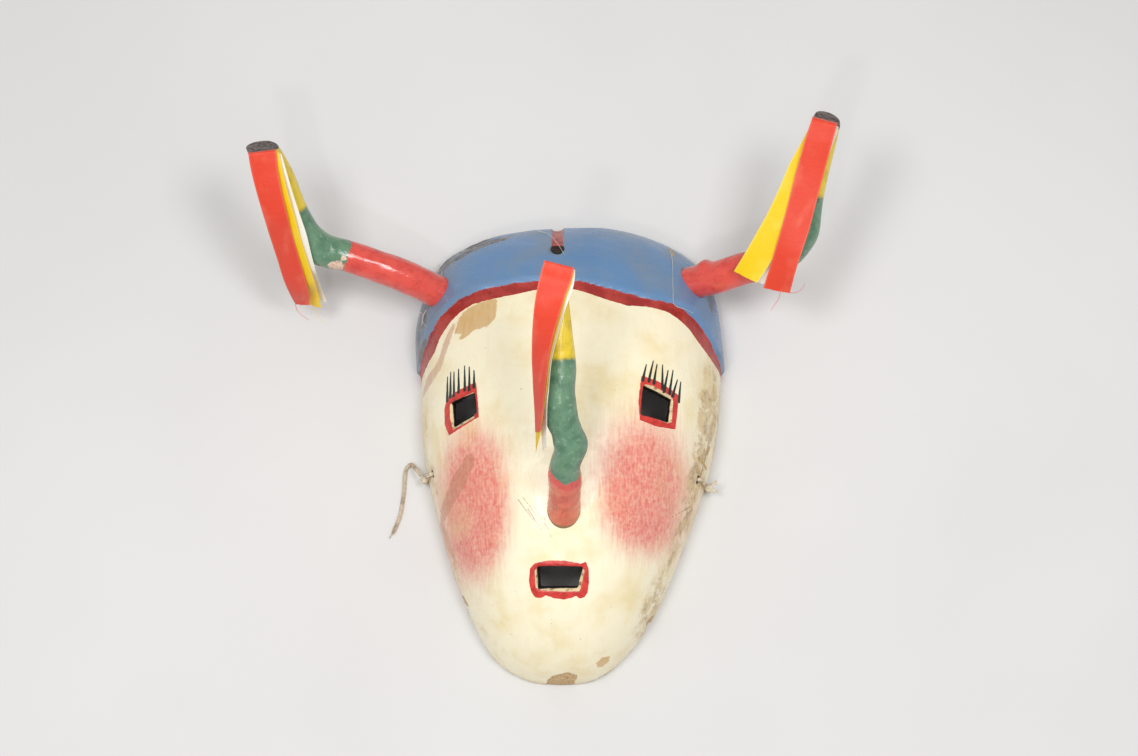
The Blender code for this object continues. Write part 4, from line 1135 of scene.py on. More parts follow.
LASHES = [
    (-65.2, 25.9, -65.4, 39.2), (-63.5, 27.5, -63.6, 41.3), (-61.5, 27.5, -61.7, 40.7),
    (-58.9, 28.9, -59.1, 41.5), (-55.5, 29.2, -55.7, 42.3), (-53.0, 28.8, -53.1, 41.1),
    (-50.4, 29.7, -50.5, 38.7), (39.1, 32.2, 41.0, 40.5), (42.3, 32.0, 44.7, 42.9),
    (45.0, 31.3, 46.7, 41.3), (49.5, 29.3, 49.7, 41.5), (50.6, 27.9, 52.7, 39.0),
    (53.5, 27.3, 55.4, 39.6), (55.3, 26.1, 57.8, 34.8), (58.6, 24.1, 59.7, 34.2),
]
CHEEKS = [
    (-51.0, -22.0, 20.5, 33.0, 4, 0.95), (-49.0, -48.0, 16.0, 25.0, 6, 0.75),
    (39.5, -18.0, 27.0, 33.0, -5, 0.95), (37.0, -42.0, 19.0, 20.0, 0, 0.5),
]
TAN_PATCH = [(-55.3, 75.1), (-48.2, 78.1), (-38.8, 79.6), (-38.7, 72.6), (-39.2, 67.3), (-42.0, 64.3),
             (-44.4, 61.6), (-46.0, 63.4), (-47.3, 61.4), (-50.3, 62.3), (-52.6, 60.1), (-56.2, 57.2),
             (-59.2, 57.8), (-57.5, 61.2), (-61.7, 61.7), (-60.6, 66.6), (-59.4, 70.2), (-57.7, 73.1)]
CHIN_SPOT = [(14.3, -111.6), (17.4, -108.9), (21.7, -107.9), (21.3, -110.2), (17.5, -112.8),
             (14.9, -113.2)]
BEVELS = [
    [(-63.8, 23.4), (-60.3, 24.8), (-50.8, 27.0), (-50.0, 19.6), (-50.0, 12.6), (-56.2, 10.3),
     (-61.8, 9.0), (-63.6, 16.0)],
    [(40.0, 29.4), (43.9, 29.2), (54.6, 25.0), (55.4, 22.6), (54.6, 11.4), (52.4, 10.2), (38.6, 13.0),
     (38.4, 20.5)],
    [(-17.9, -69.0), (-15.4, -67.3), (-8.5, -67.2), (6.4, -67.8), (8.2, -69.2), (6.0, -78.4),
     (5.0, -79.4), (-2.5, -79.6), (-14.5, -78.8), (-17.4, -77.3)],
]
WORN = [(-34.0, 122.5, -48.0, 118.5, 1.6, 3.4), (-48.0, 118.5, -56.0, 113.5, 3.4, 2.4),
        (-56.0, 113.5, -66.5, 107.0, 2.4, 1.6)]
# Brown strokes: the upper five are a streak down the left of the brow; the lower five, down the left
# cheek, are a painted shadow
STREAKS_AND_SHADOW = [
    (-62.4, 67.1, -66.5, 57.0, 1.2, 1.9), (-66.5, 57.0, -69.0, 50.8, 1.9, 1.8),
    (-69.0, 50.8, -71.5, 46.1, 1.8, 2.4), (-71.5, 46.1, -76.2, 42.8, 2.4, 3.2),
    (-76.2, 42.8, -80.0, 38.0, 3.2, 1.2),
    (-52.5, -9.0, -58.0, -17.5, 3.2, 4.6), (-58.0, -17.5, -66.0, -29.0, 4.6, 3.6),
    (-66.0, -29.0, -69.0, -34.5, 3.6, 1.6), (-69.0, -34.5, -65.0, -47.0, 1.4, 1.2),
    (-65.0, -47.0, -60.5, -57.0, 1.2, 0.5),
]
# Soft spots of dirt; the row at x -2, y -47, under the nose's root, is painted shade at the nose's foot
GRIME_AND_SHADE = [
    (74.0, 28.0, 5.0, 22.0, -4, 1.0), (71.0, 2.0, 5.5, 22.0, -10, 0.95),
    (66.0, -20.0, 4.5, 20.0, -16, 0.8), (57.0, -48.0, 4.0, 20.0, -25, 0.75),
    (46.0, -76.0, 5.0, 14.0, -30, 0.95), (39.0, -92.0, 5.0, 9.0, -32, 0.8),
    (81.0, 28.0, 4.0, 34.0, 0, 0.8), (-79.0, 20.0, 3.0, 26.0, 3, 0.6),
    (-73.0, -14.0, 3.5, 14.0, 8, 0.75), (-64.0, -52.0, 3.0, 30.0, 22, 0.6),
    (-42.0, -98.0, 4.0, 18.0, 50, 0.5), (-9.0, -103.0, 8.0, 3.0, 0, 0.28),
    (18.0, -108.0, 7.0, 5.0, 0, 0.45), (-30.0, -79.0, 1.6, 1.2, 0, 0.7),
    (-28.0, -106.0, 3.0, 1.6, 0, 0.5), (-8.0, -91.0, 1.0, 6.0, 0, 0.4),
    (-2.0, -47.0, 9.0, 3.4, 0, 0.5), (-52.0, 126.0, 26.0, 7.0, 22, 0.95),
    (-72.0, 112.0, 9.0, 10.0, 30, 0.9), (-80.0, 78.0, 4.0, 18.0, 0, 0.7),
    (52.0, 124.0, 26.0, 4.0, -22, 0.55), (78.0, 84.0, 5.0, 16.0, 0, 0.5),
    (-6.3, 109.0, 5.0, 5.0, 0, 0.9), (-4.0, 130.0, 24.0, 4.0, 0, 0.5),
    (-42.0, 80.0, 16.0, 3.0, 8, 0.25), (60.0, 56.0, 12.0, 6.0, -30, 0.25),
    (-46.0, 36.0, 6.0, 10.0, 0, 0.16), (20.0, 34.0, 8.0, 20.0, 0, 0.1),
]
CHIN_BARE = [
    (-13.0, -123.0), (-11.6, -118.9), (-9.6, -118.0), (-7.5, -117.2), (-4.0, -116.8), (-1.0, -116.0),
    (2.0, -116.6), (4.7, -117.1), (4.2, -118.4), (3.1, -119.4), (4.0, -123.0),
]
BARE = [
    (43.0, -89.0, 46.5, -84.5, 1.6, 1.3), (20.0, -117.6, 21.5, -115.6, 0.9, 0.7),
    (70.5, -2.6, 74.6, -4.6, 1.2, 0.9), (75.0, 2.4, 76.4, 6.4, 0.9, 0.6),
    (68.0, -7.4, 70.4, -9.0, 0.6, 0.9), (55.5, 120.7, 56.6, 112.2, 0.7, 0.9),
    (69.5, 116.0, 73.5, 111.0, 1.5, 1.2), (-83.5, 52.0, -83.2, 44.0, 0.6, 0.5),
    (-70.5, 119.4, -60.0, 125.0, 0.5, 0.4), (-58.0, -72.8, -54.6, -79.0, 0.5, 0.4),
]
SCRATCHES = [
    (-26.5, -33.0, -18.0, -45.0, 0.22, 0.1), (-24.0, -32.0, -16.5, -42.5, 0.16, 0.1),
    (-21.5, -38.0, -14.0, -50.0, 0.2, 0.08), (-18.0, -37.5, -11.5, -48.0, 0.14, 0.08),
    (-13.0, -43.0, -9.0, -54.0, 0.16, 0.08), (53.5, -37.5, 66.0, -27.0, 0.16, 0.22),
    (-9.5, -88.0, -9.0, -97.0, 0.18, 0.1), (-17.5, -72.5, -17.0, -82.0, 0.2, 0.16),
    (-15.6, -73.0, -15.0, -80.0, 0.16, 0.1), (6.6, -70.6, 6.2, -82.4, 0.22, 0.16),
    (-29.8, -79.4, -27.6, -78.8, 0.3, 0.2), (76.0, 9.0, 70.8, -13.0, 0.25, 0.2),
    (-47.0, 48.0, -30.0, 62.0, 0.1, 0.06), (30.0, 48.0, 34.0, 64.0, 0.08, 0.05),
    (1.5, -100.0, 12.0, -104.0, 0.12, 0.08), (-36.0, -92.0, -30.0, -99.0, 0.12, 0.08),
]


def groove_depth(points):
    """How deep the groove from the hanging hole over the top edge is, at plan positions."""
    radius = TOP_GROOVE_WIDTH ** 2 / (8 * TOP_GROOVE_DEPTH) + TOP_GROOVE_DEPTH / 2
    hole = place(TOP_HOLE)
    side = np.abs(points[:, 0] - hole.x)
    depth = np.sqrt(np.maximum(radius ** 2 - side ** 2, 0.0)) - (radius - TOP_GROOVE_DEPTH)
    begins = smoothstep(points[:, 1], hole.y - 0.001, hole.y + 0.002)
    return np.maximum(depth, 0.0) * begins


def bitten(points):
    """Points inside a chip of the rim, moved up and inwards to its far side."""
    for spot, height, size in RIM_CHIPS:
        middle = np.array(place(spot)) + np.array([0.0, 0.0, height * WALL])
        radius = size * WALL
        inwards = np.array(CENTRE) - middle
        inwards[2] = 0.0
        way = inwards / np.linalg.norm(inwards) + np.array([0.0, 0.0, 0.9])
        way /= np.linalg.norm(way)
        close = np.linalg.norm(points - middle, axis=1) < 2 * radius
        rough = 1.0 + 0.22 * fractal(points[close], 0.003, 2, 7.0)
        scale = np.array([radius, 0.8 * radius, 1.3 * radius]) * rough[:, None]
        arm = (points[close] - middle) / scale
        step = way / scale
        a = (step ** 2).sum(axis=1)
        b = (arm * step).sum(axis=1)
        c = (arm ** 2).sum(axis=1) - 1.0
        far = np.where(c < 0.0, (-b + np.sqrt(np.maximum(b * b - a * c, 0.0))) / a, 0.0)
        moved = points[close] + far[:, None] * way
        points[close] = moved
    return points


def notched(points):
    """The rim's edge lifted where the tie cords pass under it."""
    for tie in (LEFT_TIE, RIGHT_TIE):
        arm = points[:, :2] - np.array(CENTRE)[:2]
        out = np.array(tie.out)[:2]
        ahead = arm @ out
        side = np.abs(arm[:, 0] * out[1] - arm[:, 1] * out[0])
        radius = tie.radius + NOTCH_STAND_OFFS * CORD_STAND_OFF
        height = tie.radius + np.sqrt(np.maximum(radius ** 2 - side ** 2, 0.0))
        hit = (ahead > 0) & (side < radius) & (points[:, 2] < height)
        points[hit, 2] = height[hit]
    return points


# Width of the rounded lip of each opening, and the gouge marks inside: how many, and how long
# for their width
LIP_WIDTH = 0.0009
GOUGE_MARKS = 620
GOUGE_LENGTH = 2.1


def rounded(base, radius):
    """How far the surface draws back near the rim's edge."""
    low = np.clip(1.0 - base[:, 2] / radius, 0.0, 1.0)
    return 0.8 * radius * (1.0 - np.sqrt(1.0 - low ** 2))


def settled(angle, slope, inset):
    """Places on the shell with its notches and chips, and none under the floor."""
    points = dome_points(angle, slope, inset)
    points[:, 2] = np.maximum(points[:, 2], 0.0)
    return notched(bitten(points))


def outer_surface(flat, paint, holes):
    """Final places of the painted side: the cap's step, brush marks, wear, groove and chips."""
    angle, slope = unflatten(flat)
    base = dome_points(angle, slope, 0.0)
    cap = paint["cap"]
    inset = -CAP_STEP * smoothstep(cap, -0.5, 1.3)
    inset -= 0.00022 * fractal(base, 0.017, 3) + 0.00005 * fractal(base, 0.0032, 2, 3.0)
    raised = np.maximum(smoothstep(paint["band"], -0.2, 0.5) * smoothstep(-cap, -1.2, 0.2),
                        np.maximum(smoothstep(paint["eye"], -0.2, 0.4),
                                   smoothstep(paint["mouth"], -0.2, 0.5)))
    ripple = fractal(base, 0.0045, 2, 9.0)
    raised *= 1.0 - smoothstep(paint["bevel"], -0.4, 0.1)
    inset -= raised * (0.00016 + 0.00012 * ripple)
    worn = smoothstep(paint["dirt_and_shade"], 0.5, 1.0) * smoothstep(cap, 0.5, 2.0)
    inset += worn * 0.0004 * (0.6 + fractal(base, 0.0035, 3, 5.0))
    inset += 0.0010 * smoothstep(paint["worn"], 0.3, 1.0) * smoothstep(
        fractal(base, 0.0042, 3, 5.0), -0.25, 0.5) * smoothstep(cap, 0.5, 2.0)
    inset += 0.0007 * smoothstep(paint["bevel"], 0.0, 0.9)
    inset += 0.00030 * smoothstep(paint["bare"], -0.2, 0.3)
    inset += 0.00012 * smoothstep(paint["scratch"], -0.05, 0.1)
    inset += 0.6 * groove_depth(base)
    inset += rounded(base, 0.0015)
    inset += 0.0004 * np.clip(1.0 - holes / LIP_WIDTH, 0.0, 1.0) ** 2
    return settled(angle, slope, inset)


def inner_surface(flat, holes):
    """Final places of the hollow side, with the hollows that a gouge left."""
    angle, slope = unflatten(flat)
    base = dome_points(angle, slope, WALL)
    rng = np.random.default_rng(11)
    seeds = rng.uniform(-FLAT_RADIUS, FLAT_RADIUS, (GOUGE_MARKS, 2))
    shape = np.array([1.0, GOUGE_LENGTH])
    scoop = nearest(flat / shape, seeds / shape)
    inset = WALL + 0.0006 * np.minimum(scoop / 0.006, 1.2) ** 2 - 0.0004
    inset += 0.00016 * fractal(base, 0.006, 3, 2.0)
    inset -= rounded(base, 0.0012)
    inset -= 0.0003 * np.clip(1.0 - holes / LIP_WIDTH, 0.0, 1.0) ** 2
    return settled(angle, slope, inset)


def hex_grid(pitch, low, high):
    """Evenly spread points in a rectangle."""
    rise = pitch * math.sqrt(3) / 2
    rows = []
    for j, y in enumerate(np.arange(low[1], high[1], rise)):
        x = np.arange(low[0], high[0], pitch) + (0.5 * pitch if j % 2 else 0.0)
        rows.append(np.stack([x, np.full(len(x), y)], axis=-1))
    return np.concatenate(rows)


def sheet_grid(pitch, margin, loops, gap):
    """Evenly spread points of the flat sheet, off its edge and off the openings' outlines."""
    grid = hex_grid(pitch, (-FLAT_RADIUS, -FLAT_RADIUS), (FLAT_RADIUS, FLAT_RADIUS))
    grid = grid[np.hypot(*grid.T) < FLAT_RADIUS - margin]
    return grid[nearest(grid, np.concatenate(loops)) > gap] if gap else grid


def off_loops(grid, loops):
    for loop in loops:
        grid = grid[~inside_loop(grid, loop)]
    return grid


RIM_POINTS = 640


def rim_ring(less, turn=0.0):
    angles = 2 * math.pi * (np.arange(RIM_POINTS) + turn) / RIM_POINTS
    return (FLAT_RADIUS - less) * np.stack([np.cos(angles), np.sin(angles)], axis=-1)


def triangulate(loops, points):
    """Triangles between the loops, the first of which is the outer one, through the points.

    Returns flat positions with the loops' points first, in order, and the triangles."""
    everything = np.concatenate(loops + [points])
    edges = []
    start = 0
    for loop in loops:
        count = len(loop)
        edges += [(start + k, start + (k + 1) % count) for k in range(count)]
        start += count
    made = geometry.delaunay_2d_cdt([Vector(row) for row in everything], edges, [], 0, 1e-9)
    verts, faces, origins = np.array([tuple(v) for v in made[0]]), np.array(made[2]), made[3]
    middle = verts[faces].mean(axis=1)
    gone = np.hypot(middle[:, 0], middle[:, 1]) > FLAT_RADIUS
    for loop in loops[1:]:
        gone |= inside_loop(middle, loop)
    home = {}
    for new, olds in enumerate(origins):
        for old in olds:
            home[old] = new
    order = [home[i] for i in range(start)]
    rest = [i for i in range(len(verts)) if i not in set(order)]
    rank = np.zeros(len(verts), dtype=int)
    for position, i in enumerate(order + rest):
        rank[i] = position
    return verts[order + rest], rank[faces[~gone]]


def shell_holes():
    """Each hole as its outline on the painted side and on the hollow side."""
    top, up = on_dome(TOP_HOLE, -CAP_STEP)
    made = [(opening_loop(corners, 0.0, seed), opening_loop(corners, WALL, seed, shift))
            for corners, seed, shift in ((LEFT_EYE, 1.0, (1.2, 3.0)), (RIGHT_EYE, 4.0, (-1.2, 1.6)),
                                         (MOUTH, 8.0, (0.8, 3.4)))]
    made.append((round_loop(top, up, TOP_HOLE_DIAMETER / 2, -CAP_STEP),
                 round_loop(top, up, TOP_HOLE_DIAMETER / 2, WALL)))
    for tie in (LEFT_TIE, RIGHT_TIE):
        made.append((round_loop(tie.point, tie.normal, EAR_HOLE_DIAMETER / 2, 0.0),
                     round_loop(tie.point, tie.normal, EAR_HOLE_DIAMETER / 2, WALL)))
    for branch in (LEFT_HORN, RIGHT_HORN, NOSE):
        made.append((socket_loop(branch, branch.inset), socket_loop(branch, WALL)))
    return made


# Inset of the painted surface at each hole, in the order of shell_holes
HOLE_INSETS = [0.0, 0.0, 0.0, -CAP_STEP, 0.0, 0.0, -CAP_STEP, -CAP_STEP, 0.0]
# Finer meshed rectangles in plan, in millimetres: two corners and the spacing
FINE_ZONES = [((-69.5, 4.0), (-46.0, 44.0), 0.34), ((34.5, 5.0), (61.5, 45.0), 0.34),
              ((-23.5, -86.0), (13.5, -61.5), 0.5), ((-12.0, 105.0), (0.0, 136.0), 0.5),
              ((-28.0, -57.0), (-8.0, -31.0), 0.5)]
OUTER_PITCH = 0.00122
OUTER_MARGIN = 0.0021
ZONE_MARGIN = 0.004
INNER_PITCH = 0.0026
INNER_MARGIN = 0.0028
RIM_RINGS = (0.00035, 0.0008, 0.0014)
# Rings of points through the wall at the openings and at the rim
WALL_RINGS = 7
EDGE_RINGS = 5
# The first three holes are cut, and the first six, with the drilled ones, have a worn lip
CUT_THROUGH = 3
DRILLED = 6


# Below these heights the cap's top edge is worn, from none to fully
WEAR_TOP, WEAR_LOW = -0.034, -0.025


def paint_values(points):
    """Where each colour lies on the painted side, for the shader."""
    cap_edge = [(x * MASK_WIDTH / MM, y * MASK_HEIGHT / MM) for x, y in CAP_EDGE]
    smooth_edge = [tuple(p)[:2] for p in smooth_points([Vector((x, y, 0)) for x, y in cap_edge], 6)]
    cap = above(points, smooth_edge)
    band = above(points, BAND_EDGE)
    eye = np.maximum(signed(points, LEFT_BORDER), signed(points, RIGHT_BORDER))
    values = {
        "cap": cap, "band": band, "eye": eye, "mouth": signed(points, MOUTH_BORDER),
        "lash": strokes(points, [lash_stroke(*row) for row in LASHES]),
        "blush": np.minimum(blobs(points, CHEEKS), 1.05),
        # The brow's brown streak and the cheek's painted shadow
        "dark_patch": strokes(points, STREAKS_AND_SHADOW),
        "tan": np.maximum(signed(points, TAN_PATCH), signed(points, CHIN_SPOT)),
        "bevel": np.max([signed(points, outline) for outline in BEVELS], axis=0),
        "dirt_and_shade": blobs(points, GRIME_AND_SHADE),
        "bare": np.maximum(strokes(points, BARE), signed(points, CHIN_BARE)),
        "scratch": strokes(points, SCRATCHES) + 0.06,
        "groove": groove_depth(points) / TOP_GROOVE_DEPTH,
    }
    hole = np.array(place(TOP_HOLE))[:2] / MM
    from_hole = np.hypot(*((points[:, :2] / MM - hole) * np.array([1.0, 0.85])).T)
    # Painted shade round the lip of the hanging hole
    values["hole_shade"] = 1.1 * smoothstep(-from_hole, -4.3, -3.0)
    arm = points[:, :2] - np.array(CENTRE)[:2]
    turn = np.degrees(np.arctan2(arm[:, 1], arm[:, 0]))
    edge = smoothstep(-points[:, 2], WEAR_TOP, WEAR_LOW)
    edge *= 1.0 - 0.8 * smoothstep(-points[:, 2], -0.019, -0.006)
    left_part = smoothstep(turn, 90, 116) * smoothstep(-turn, -160, -146)
    right_part = 0.75 * smoothstep(turn, 40, 46) * smoothstep(-turn, -62, -54)
    patches = 0.8 + 0.5 * fractal(points, 0.016, 3, 6.0)
    values["worn"] = np.maximum(edge * patches * np.maximum(left_part, right_part),
                                smoothstep(strokes(points, WORN), -1.0, 1.0))
    values["grey"] = smoothstep(-points[:, 0] / MM, 50.0, 82.0)
    edge_dirt = 0.55 * smoothstep(-points[:, 2], -0.009, -0.001)
    values["dirt_and_shade"] = np.maximum(values["dirt_and_shade"], edge_dirt * smoothstep(-cap, -2.0, 4.0)
                                + 0.4 * edge_dirt)
    return values


def build_mask(finish):
    """The carved shell: its painted side, its hollow side, and the walls of rim and openings."""
    holes = shell_holes()
    outer_loops = [flatten(outer, inset) for (outer, _), inset in zip(holes, HOLE_INSETS)]
    inner_loops = [flatten(inner, WALL) for _, inner in holes]
    rings = [rim_ring(less, 0.5 * (i % 2 == 0)) for i, less in enumerate(RIM_RINGS)]
    grid = sheet_grid(OUTER_PITCH, OUTER_MARGIN, outer_loops, 0.0)
    plan = dome_points(*unflatten(grid), 0.0)[:, :2] / MM
    fine = []
    for low, high, pitch in FINE_ZONES:
        within = in_box(plan, low, high)
        low_flat, high_flat = grid[within].min(axis=0), grid[within].max(axis=0)
        more = hex_grid(pitch * MM, low_flat - ZONE_MARGIN, high_flat + ZONE_MARGIN)
        more = more[np.hypot(*more.T) < FLAT_RADIUS - OUTER_MARGIN]
        more = more[in_box(dome_points(*unflatten(more), 0.0)[:, :2] / MM, low, high)]
        fine.append(more[nearest(more, np.concatenate(outer_loops)) > 0.55 * pitch * MM])
        grid, plan = grid[~within], plan[~within]
    grid = grid[nearest(grid, np.concatenate(outer_loops + fine)) > 0.5 * OUTER_PITCH]
    grid = off_loops(np.concatenate([grid] + fine + rings), outer_loops)
    flat, outer_faces = triangulate([rim_ring(0.0)] + outer_loops, grid)
    values = paint_values(dome_points(*unflatten(flat), 0.0))
    outer = outer_surface(flat, values, nearest(flat, np.concatenate(outer_loops[:DRILLED])))

    grid = sheet_grid(INNER_PITCH, INNER_MARGIN, inner_loops, 0.4 * INNER_PITCH)
    grid = np.concatenate([grid, rim_ring(0.0006, 0.5)[::2], rim_ring(0.0014)[::2]])
    flat, inner_faces = triangulate([rim_ring(0.0)] + inner_loops, off_loops(grid, inner_loops))
    inner = inner_surface(flat, nearest(flat, np.concatenate(inner_loops)))

    verts = [outer, inner]
    faces = outer_faces.tolist() + (inner_faces + len(outer)).tolist()
    inside = [np.zeros(len(outer)), np.ones(len(inner))]
    hole_shade = [values["hole_shade"], np.zeros(len(inner))]
    sources = [np.arange(len(outer)), np.zeros(len(inner), dtype=int)]
    start = 0
    total = len(outer) + len(inner)
    for number, loop in enumerate([rim_ring(0.0)] + outer_loops):
        count = len(loop)
        depth = WALL_RINGS if number else EDGE_RINGS
        top = np.arange(start, start + count)
        rows = [top]
        for k in range(1, depth + 1):
            share = k / (depth + 1)
            ring = outer[top] * (1 - share) + inner[top] * share
            if number == 0:
                rough = np.abs(fractal(ring, 0.004, 2, 4.0)) * 0.00018
                ring[:, 2] = np.maximum(ring[:, 2], rough * (k % 2))
            else:
                middle = ring.mean(axis=0)
                ring += (ring - middle) * (0.03 * fractal(ring, 0.003, 2, number)[:, None])
            # Painted shade on the walls: full in the drilled holes and sockets, deepening down the eyes
            # and mouth
            wall_shade = 1.0 if number > CUT_THROUGH else 0.5 + 0.7 * share
            verts.append(ring if number else notched(bitten(ring)))
            inside.append(np.full(count, 0.06 + 0.8 * share))
            hole_shade.append(np.full(count, wall_shade if number else 0.0))
            sources.append(top)
            rows.append(np.arange(total, total + count))
            total += count
        rows.append(top + len(outer))
        for a, b in zip(rows, rows[1:]):
            faces += band(a.tolist(), b.tolist())
        start += count
    sources = np.concatenate(sources)
    attributes = {key: value[sources] for key, value in values.items()}
    attributes["inside"] = np.concatenate(inside)
    attributes["hole_shade"] = np.concatenate(hole_shade)
    return add_piece("mask", np.concatenate(verts), faces, finish, attributes,
                     "mask_shell", smooth=50)


# Fineness of a branch: points around it, rings along it, and shares of its radius on a sawn end
BARK_SIDES = 56
BARK_RINGS = 230
END_RINGS = (0.93, 0.8, 0.62, 0.44, 0.26, 0.1)


def bark(base, out, across, up, gone, ringed):
    """Height of the bark's waves and of the rings near the root; the peg is smooth."""
    if gone < 0.002:
        return 0.0
    wave = noise.fractal(base * 75, 0.9, 2.0, 3)
    turn = Vector((out.dot(across) * 3.1, out.dot(up) * 3.1, gone * 46))
    fine = noise.fractal(turn, 0.8, 2.0, 3)
    ridge = math.sin(gone / 0.00175 + 1.4 * noise.noise(base * 120)) * ringed
    ridge *= max(0.0, min(1.0, (0.026 - gone) / 0.004))
    return 0.00028 * wave + 0.00012 * fine + 0.0001 * ridge


def off_side(out, side, radius):
    """Millimetres around a branch from the side that faces a direction."""
    return math.acos(max(-1.0, min(1.0, out.dot(Vector(side).normalized())))) * radius / MM


def build_branch(name, branch, finish, node, ringed=0.0, bare=(), dark=(), cut=None,
                 reach=0.0, relief=(), bends=(), thin=0.0):
    """A branch with its knots, bark ridges, brushed paint and sawn end."""
    last = BARK_RINGS - 1
    relief = make_knots(relief, branch.root_radius)
    centres = evenly(branch.centres, BARK_RINGS)
    for i, centre in enumerate(centres):
        for middle, spread, move in bends:
            centre += Vector(move) * MM * math.exp(-((i / last - middle) / spread) ** 2)
    frames = frames_along(centres)
    length = sum((b - a).length for a, b in zip(centres, centres[1:]))
    verts = []
    values = {key: [] for key in ("along", "around", "aside", "end", "bare", "dark")}

    def store(*row):
        for key, value in zip(values, row):
            values[key].append(value)

    for i, (centre, (tangent, across, up)) in enumerate(zip(centres, frames)):
        share = i / last
        gone = share * length - PEG_LENGTH
        for k in range(BARK_SIDES):
            angle = 2 * math.pi * k / BARK_SIDES
            out = across * math.cos(angle) + up * math.sin(angle)
            radius = branch.radius(share) + branch.swelling(share, out)
            radius *= 1.0 - thin * float(smoothstep(share, 0.68, 0.98))
            more = bark(centre + out * radius, out, across, up, gone, ringed)
            more -= 0.0006 * (max(0.0, share - 0.985) / 0.015) ** 2
            more += swelling(relief, share, out)
            tilt = 0.0
            if cut and share > 0.9:
                tilt = reach * MM - radius * out.dot(cut) / frames[-1][0].dot(cut)
                tilt *= ((share - 0.9) / 0.1) ** 1.5
            verts.append(centre + out * (radius + more) + tangent * tilt)
            mark, dark_patch = -2.0, 0.0
            for where, side, wide, tall in bare:
                off = off_side(out, side, radius)
                mark = max(mark, 1.0 - math.hypot((gone / MM - where) / wide, off / tall))
            for where, side, size in dark:
                off = off_side(out, side, radius)
                dark_patch = max(dark_patch, 1.2 - math.hypot(gone / MM - where, off) / size)
            sawn = float(smoothstep(share, 0.975, 0.992)) * (1.0 if cut else 0.6)
            store(gone / MM, angle, out.x, sawn, mark * 1.5 if mark > 0 else mark, dark_patch)
    faces = []
    for low in range(0, last * BARK_SIDES, BARK_SIDES):
        faces += band(range(low, low + BARK_SIDES), range(low + BARK_SIDES, low + 2 * BARK_SIDES))
    for ring, flip, along in ((0, 1, -PEG_LENGTH), (last, -1, length - PEG_LENGTH)):
        row = list(range(ring * BARK_SIDES, (ring + 1) * BARK_SIDES))
        rim = [verts[v].copy() for v in row]
        centre = sum(rim, Vector((0.0, 0.0, 0.0))) / BARK_SIDES
        for fraction in END_RINGS:
            new = list(range(len(verts), len(verts) + BARK_SIDES))
            dish = 0.0003 + 0.0004 * (1 - fraction ** 6) - 0.00008 * math.sin(fraction * 34)
            for k, point in enumerate(rim):
                at = centre + (point - centre) * fraction
                rough = noise.fractal(at * 420, 0.9, 2.0, 3) * 0.0003
                verts.append(at + frames[ring][0] * flip * (dish - rough))
                store(along / MM, values["around"][row[k]], 0.0, 1.0, -2.0, 0.0)
            faces += band(row, new)
            row = new
        faces.append(tuple(row))
    add_piece(name, verts, faces, finish, values, node)
    return np.array([tuple(vert) for vert in verts])


def seen(points):
    """Where points lie in the camera's picture, in metres at the mask, and how far away."""
    rows = points - np.array(EYE)
    away = -rows @ np.array(SIGHT)
    high = rows @ np.array([0.0, SIGHT.z, -SIGHT.y])
    return np.stack([rows[:, 0], high], axis=-1) * (CAMERA_DISTANCE / away)[:, None], away


def in_photo(x, y, height):
    """The place at a height over the floor that lies behind a pixel of the photograph."""
    focal = LENS / SENSOR_WIDTH * PHOTO_WIDTH
    up = Vector((0.0, SIGHT.z, -SIGHT.y))
    ray = Vector((x - PHOTO_WIDTH / 2, 0.0, 0.0)) + up * (PHOTO_HEIGHT / 2 - y) - SIGHT * focal
    return EYE + ray * ((height - EYE.z) / ray.z)


def ribbon_station(left_x, left_y, right_x, right_y, height):
    """Both edges of a ribbon where the photograph shows them.

    Where they would be too close for the ribbon's width, the left one lies lower and the right one
    as much higher."""
    def apart(turn):
        return in_photo(left_x, left_y, height - turn) - in_photo(right_x, right_y, height + turn)

    flat = apart(0.0)
    turn = 0.0
    if flat.length < RIBBON_WIDTH:
        more = apart(1.0) - flat
        a, b, c = more.dot(more), flat.dot(more), flat.dot(flat) - RIBBON_WIDTH ** 2
        turn = (math.sqrt(b * b - a * c) - b) / a
    return in_photo(left_x, left_y, height - turn), in_photo(right_x, right_y, height + turn)


def to_tenths(spot, x, y):
    """A place to the nearest tenth of a millimetre, moved by millimetres across and up."""
    near = [round(value / MM, 1) for value in spot]
    return Vector((near[0] + x, near[1] + y, near[2])) * MM


def ribbon_edges(ribbon):
    """The left and the right edge of a ribbon, each as a list of places."""
    lefts, rights = [], []
    for i, (*pixels, height) in enumerate(RIBBON_EDGES[ribbon]):
        left, right = ribbon_station(*pixels, height * MM)
        x0, y0, x1, y1 = RIBBON_MOVES.get(ribbon, {}).get(i, (0.0, 0.0, 0.0, 0.0))
        lefts.append(to_tenths(left, x0, y0))
        rights.append(to_tenths(right, x1, y1))
    return lefts, rights


def lay_over(grid, things, gap=0.0006):
    """A ribbon's stations moved towards the camera until they lie over what they cross."""
    below, depths = seen(np.concatenate(things))
    tree = tree_of(below)
    spots, mine = seen(grid.reshape(-1, 3))
    need = np.zeros(len(spots))
    for i, (x, y) in enumerate(spots):
        near = [depths[j] for _, j, _ in tree.find_range((x, y, 0.0), 0.0011)]
        if near:
            need[i] = max(0.0, mine[i] - min(near) + gap)
    need = need.reshape(grid.shape[:2]).max(axis=1)
    reach = 20
    wide = np.array([need[max(0, i - reach):i + reach + 1].max() for i in range(len(need))])
    bell = np.exp(-(np.arange(-reach, reach + 1) / (0.5 * reach)) ** 2)
    rise = np.convolve(np.pad(wide, reach, mode="edge"), bell / bell.sum(), "valid")
    way = np.array(EYE) - grid
    way /= np.linalg.norm(way, axis=2, keepdims=True)
    return grid + way * rise[:, None, None]


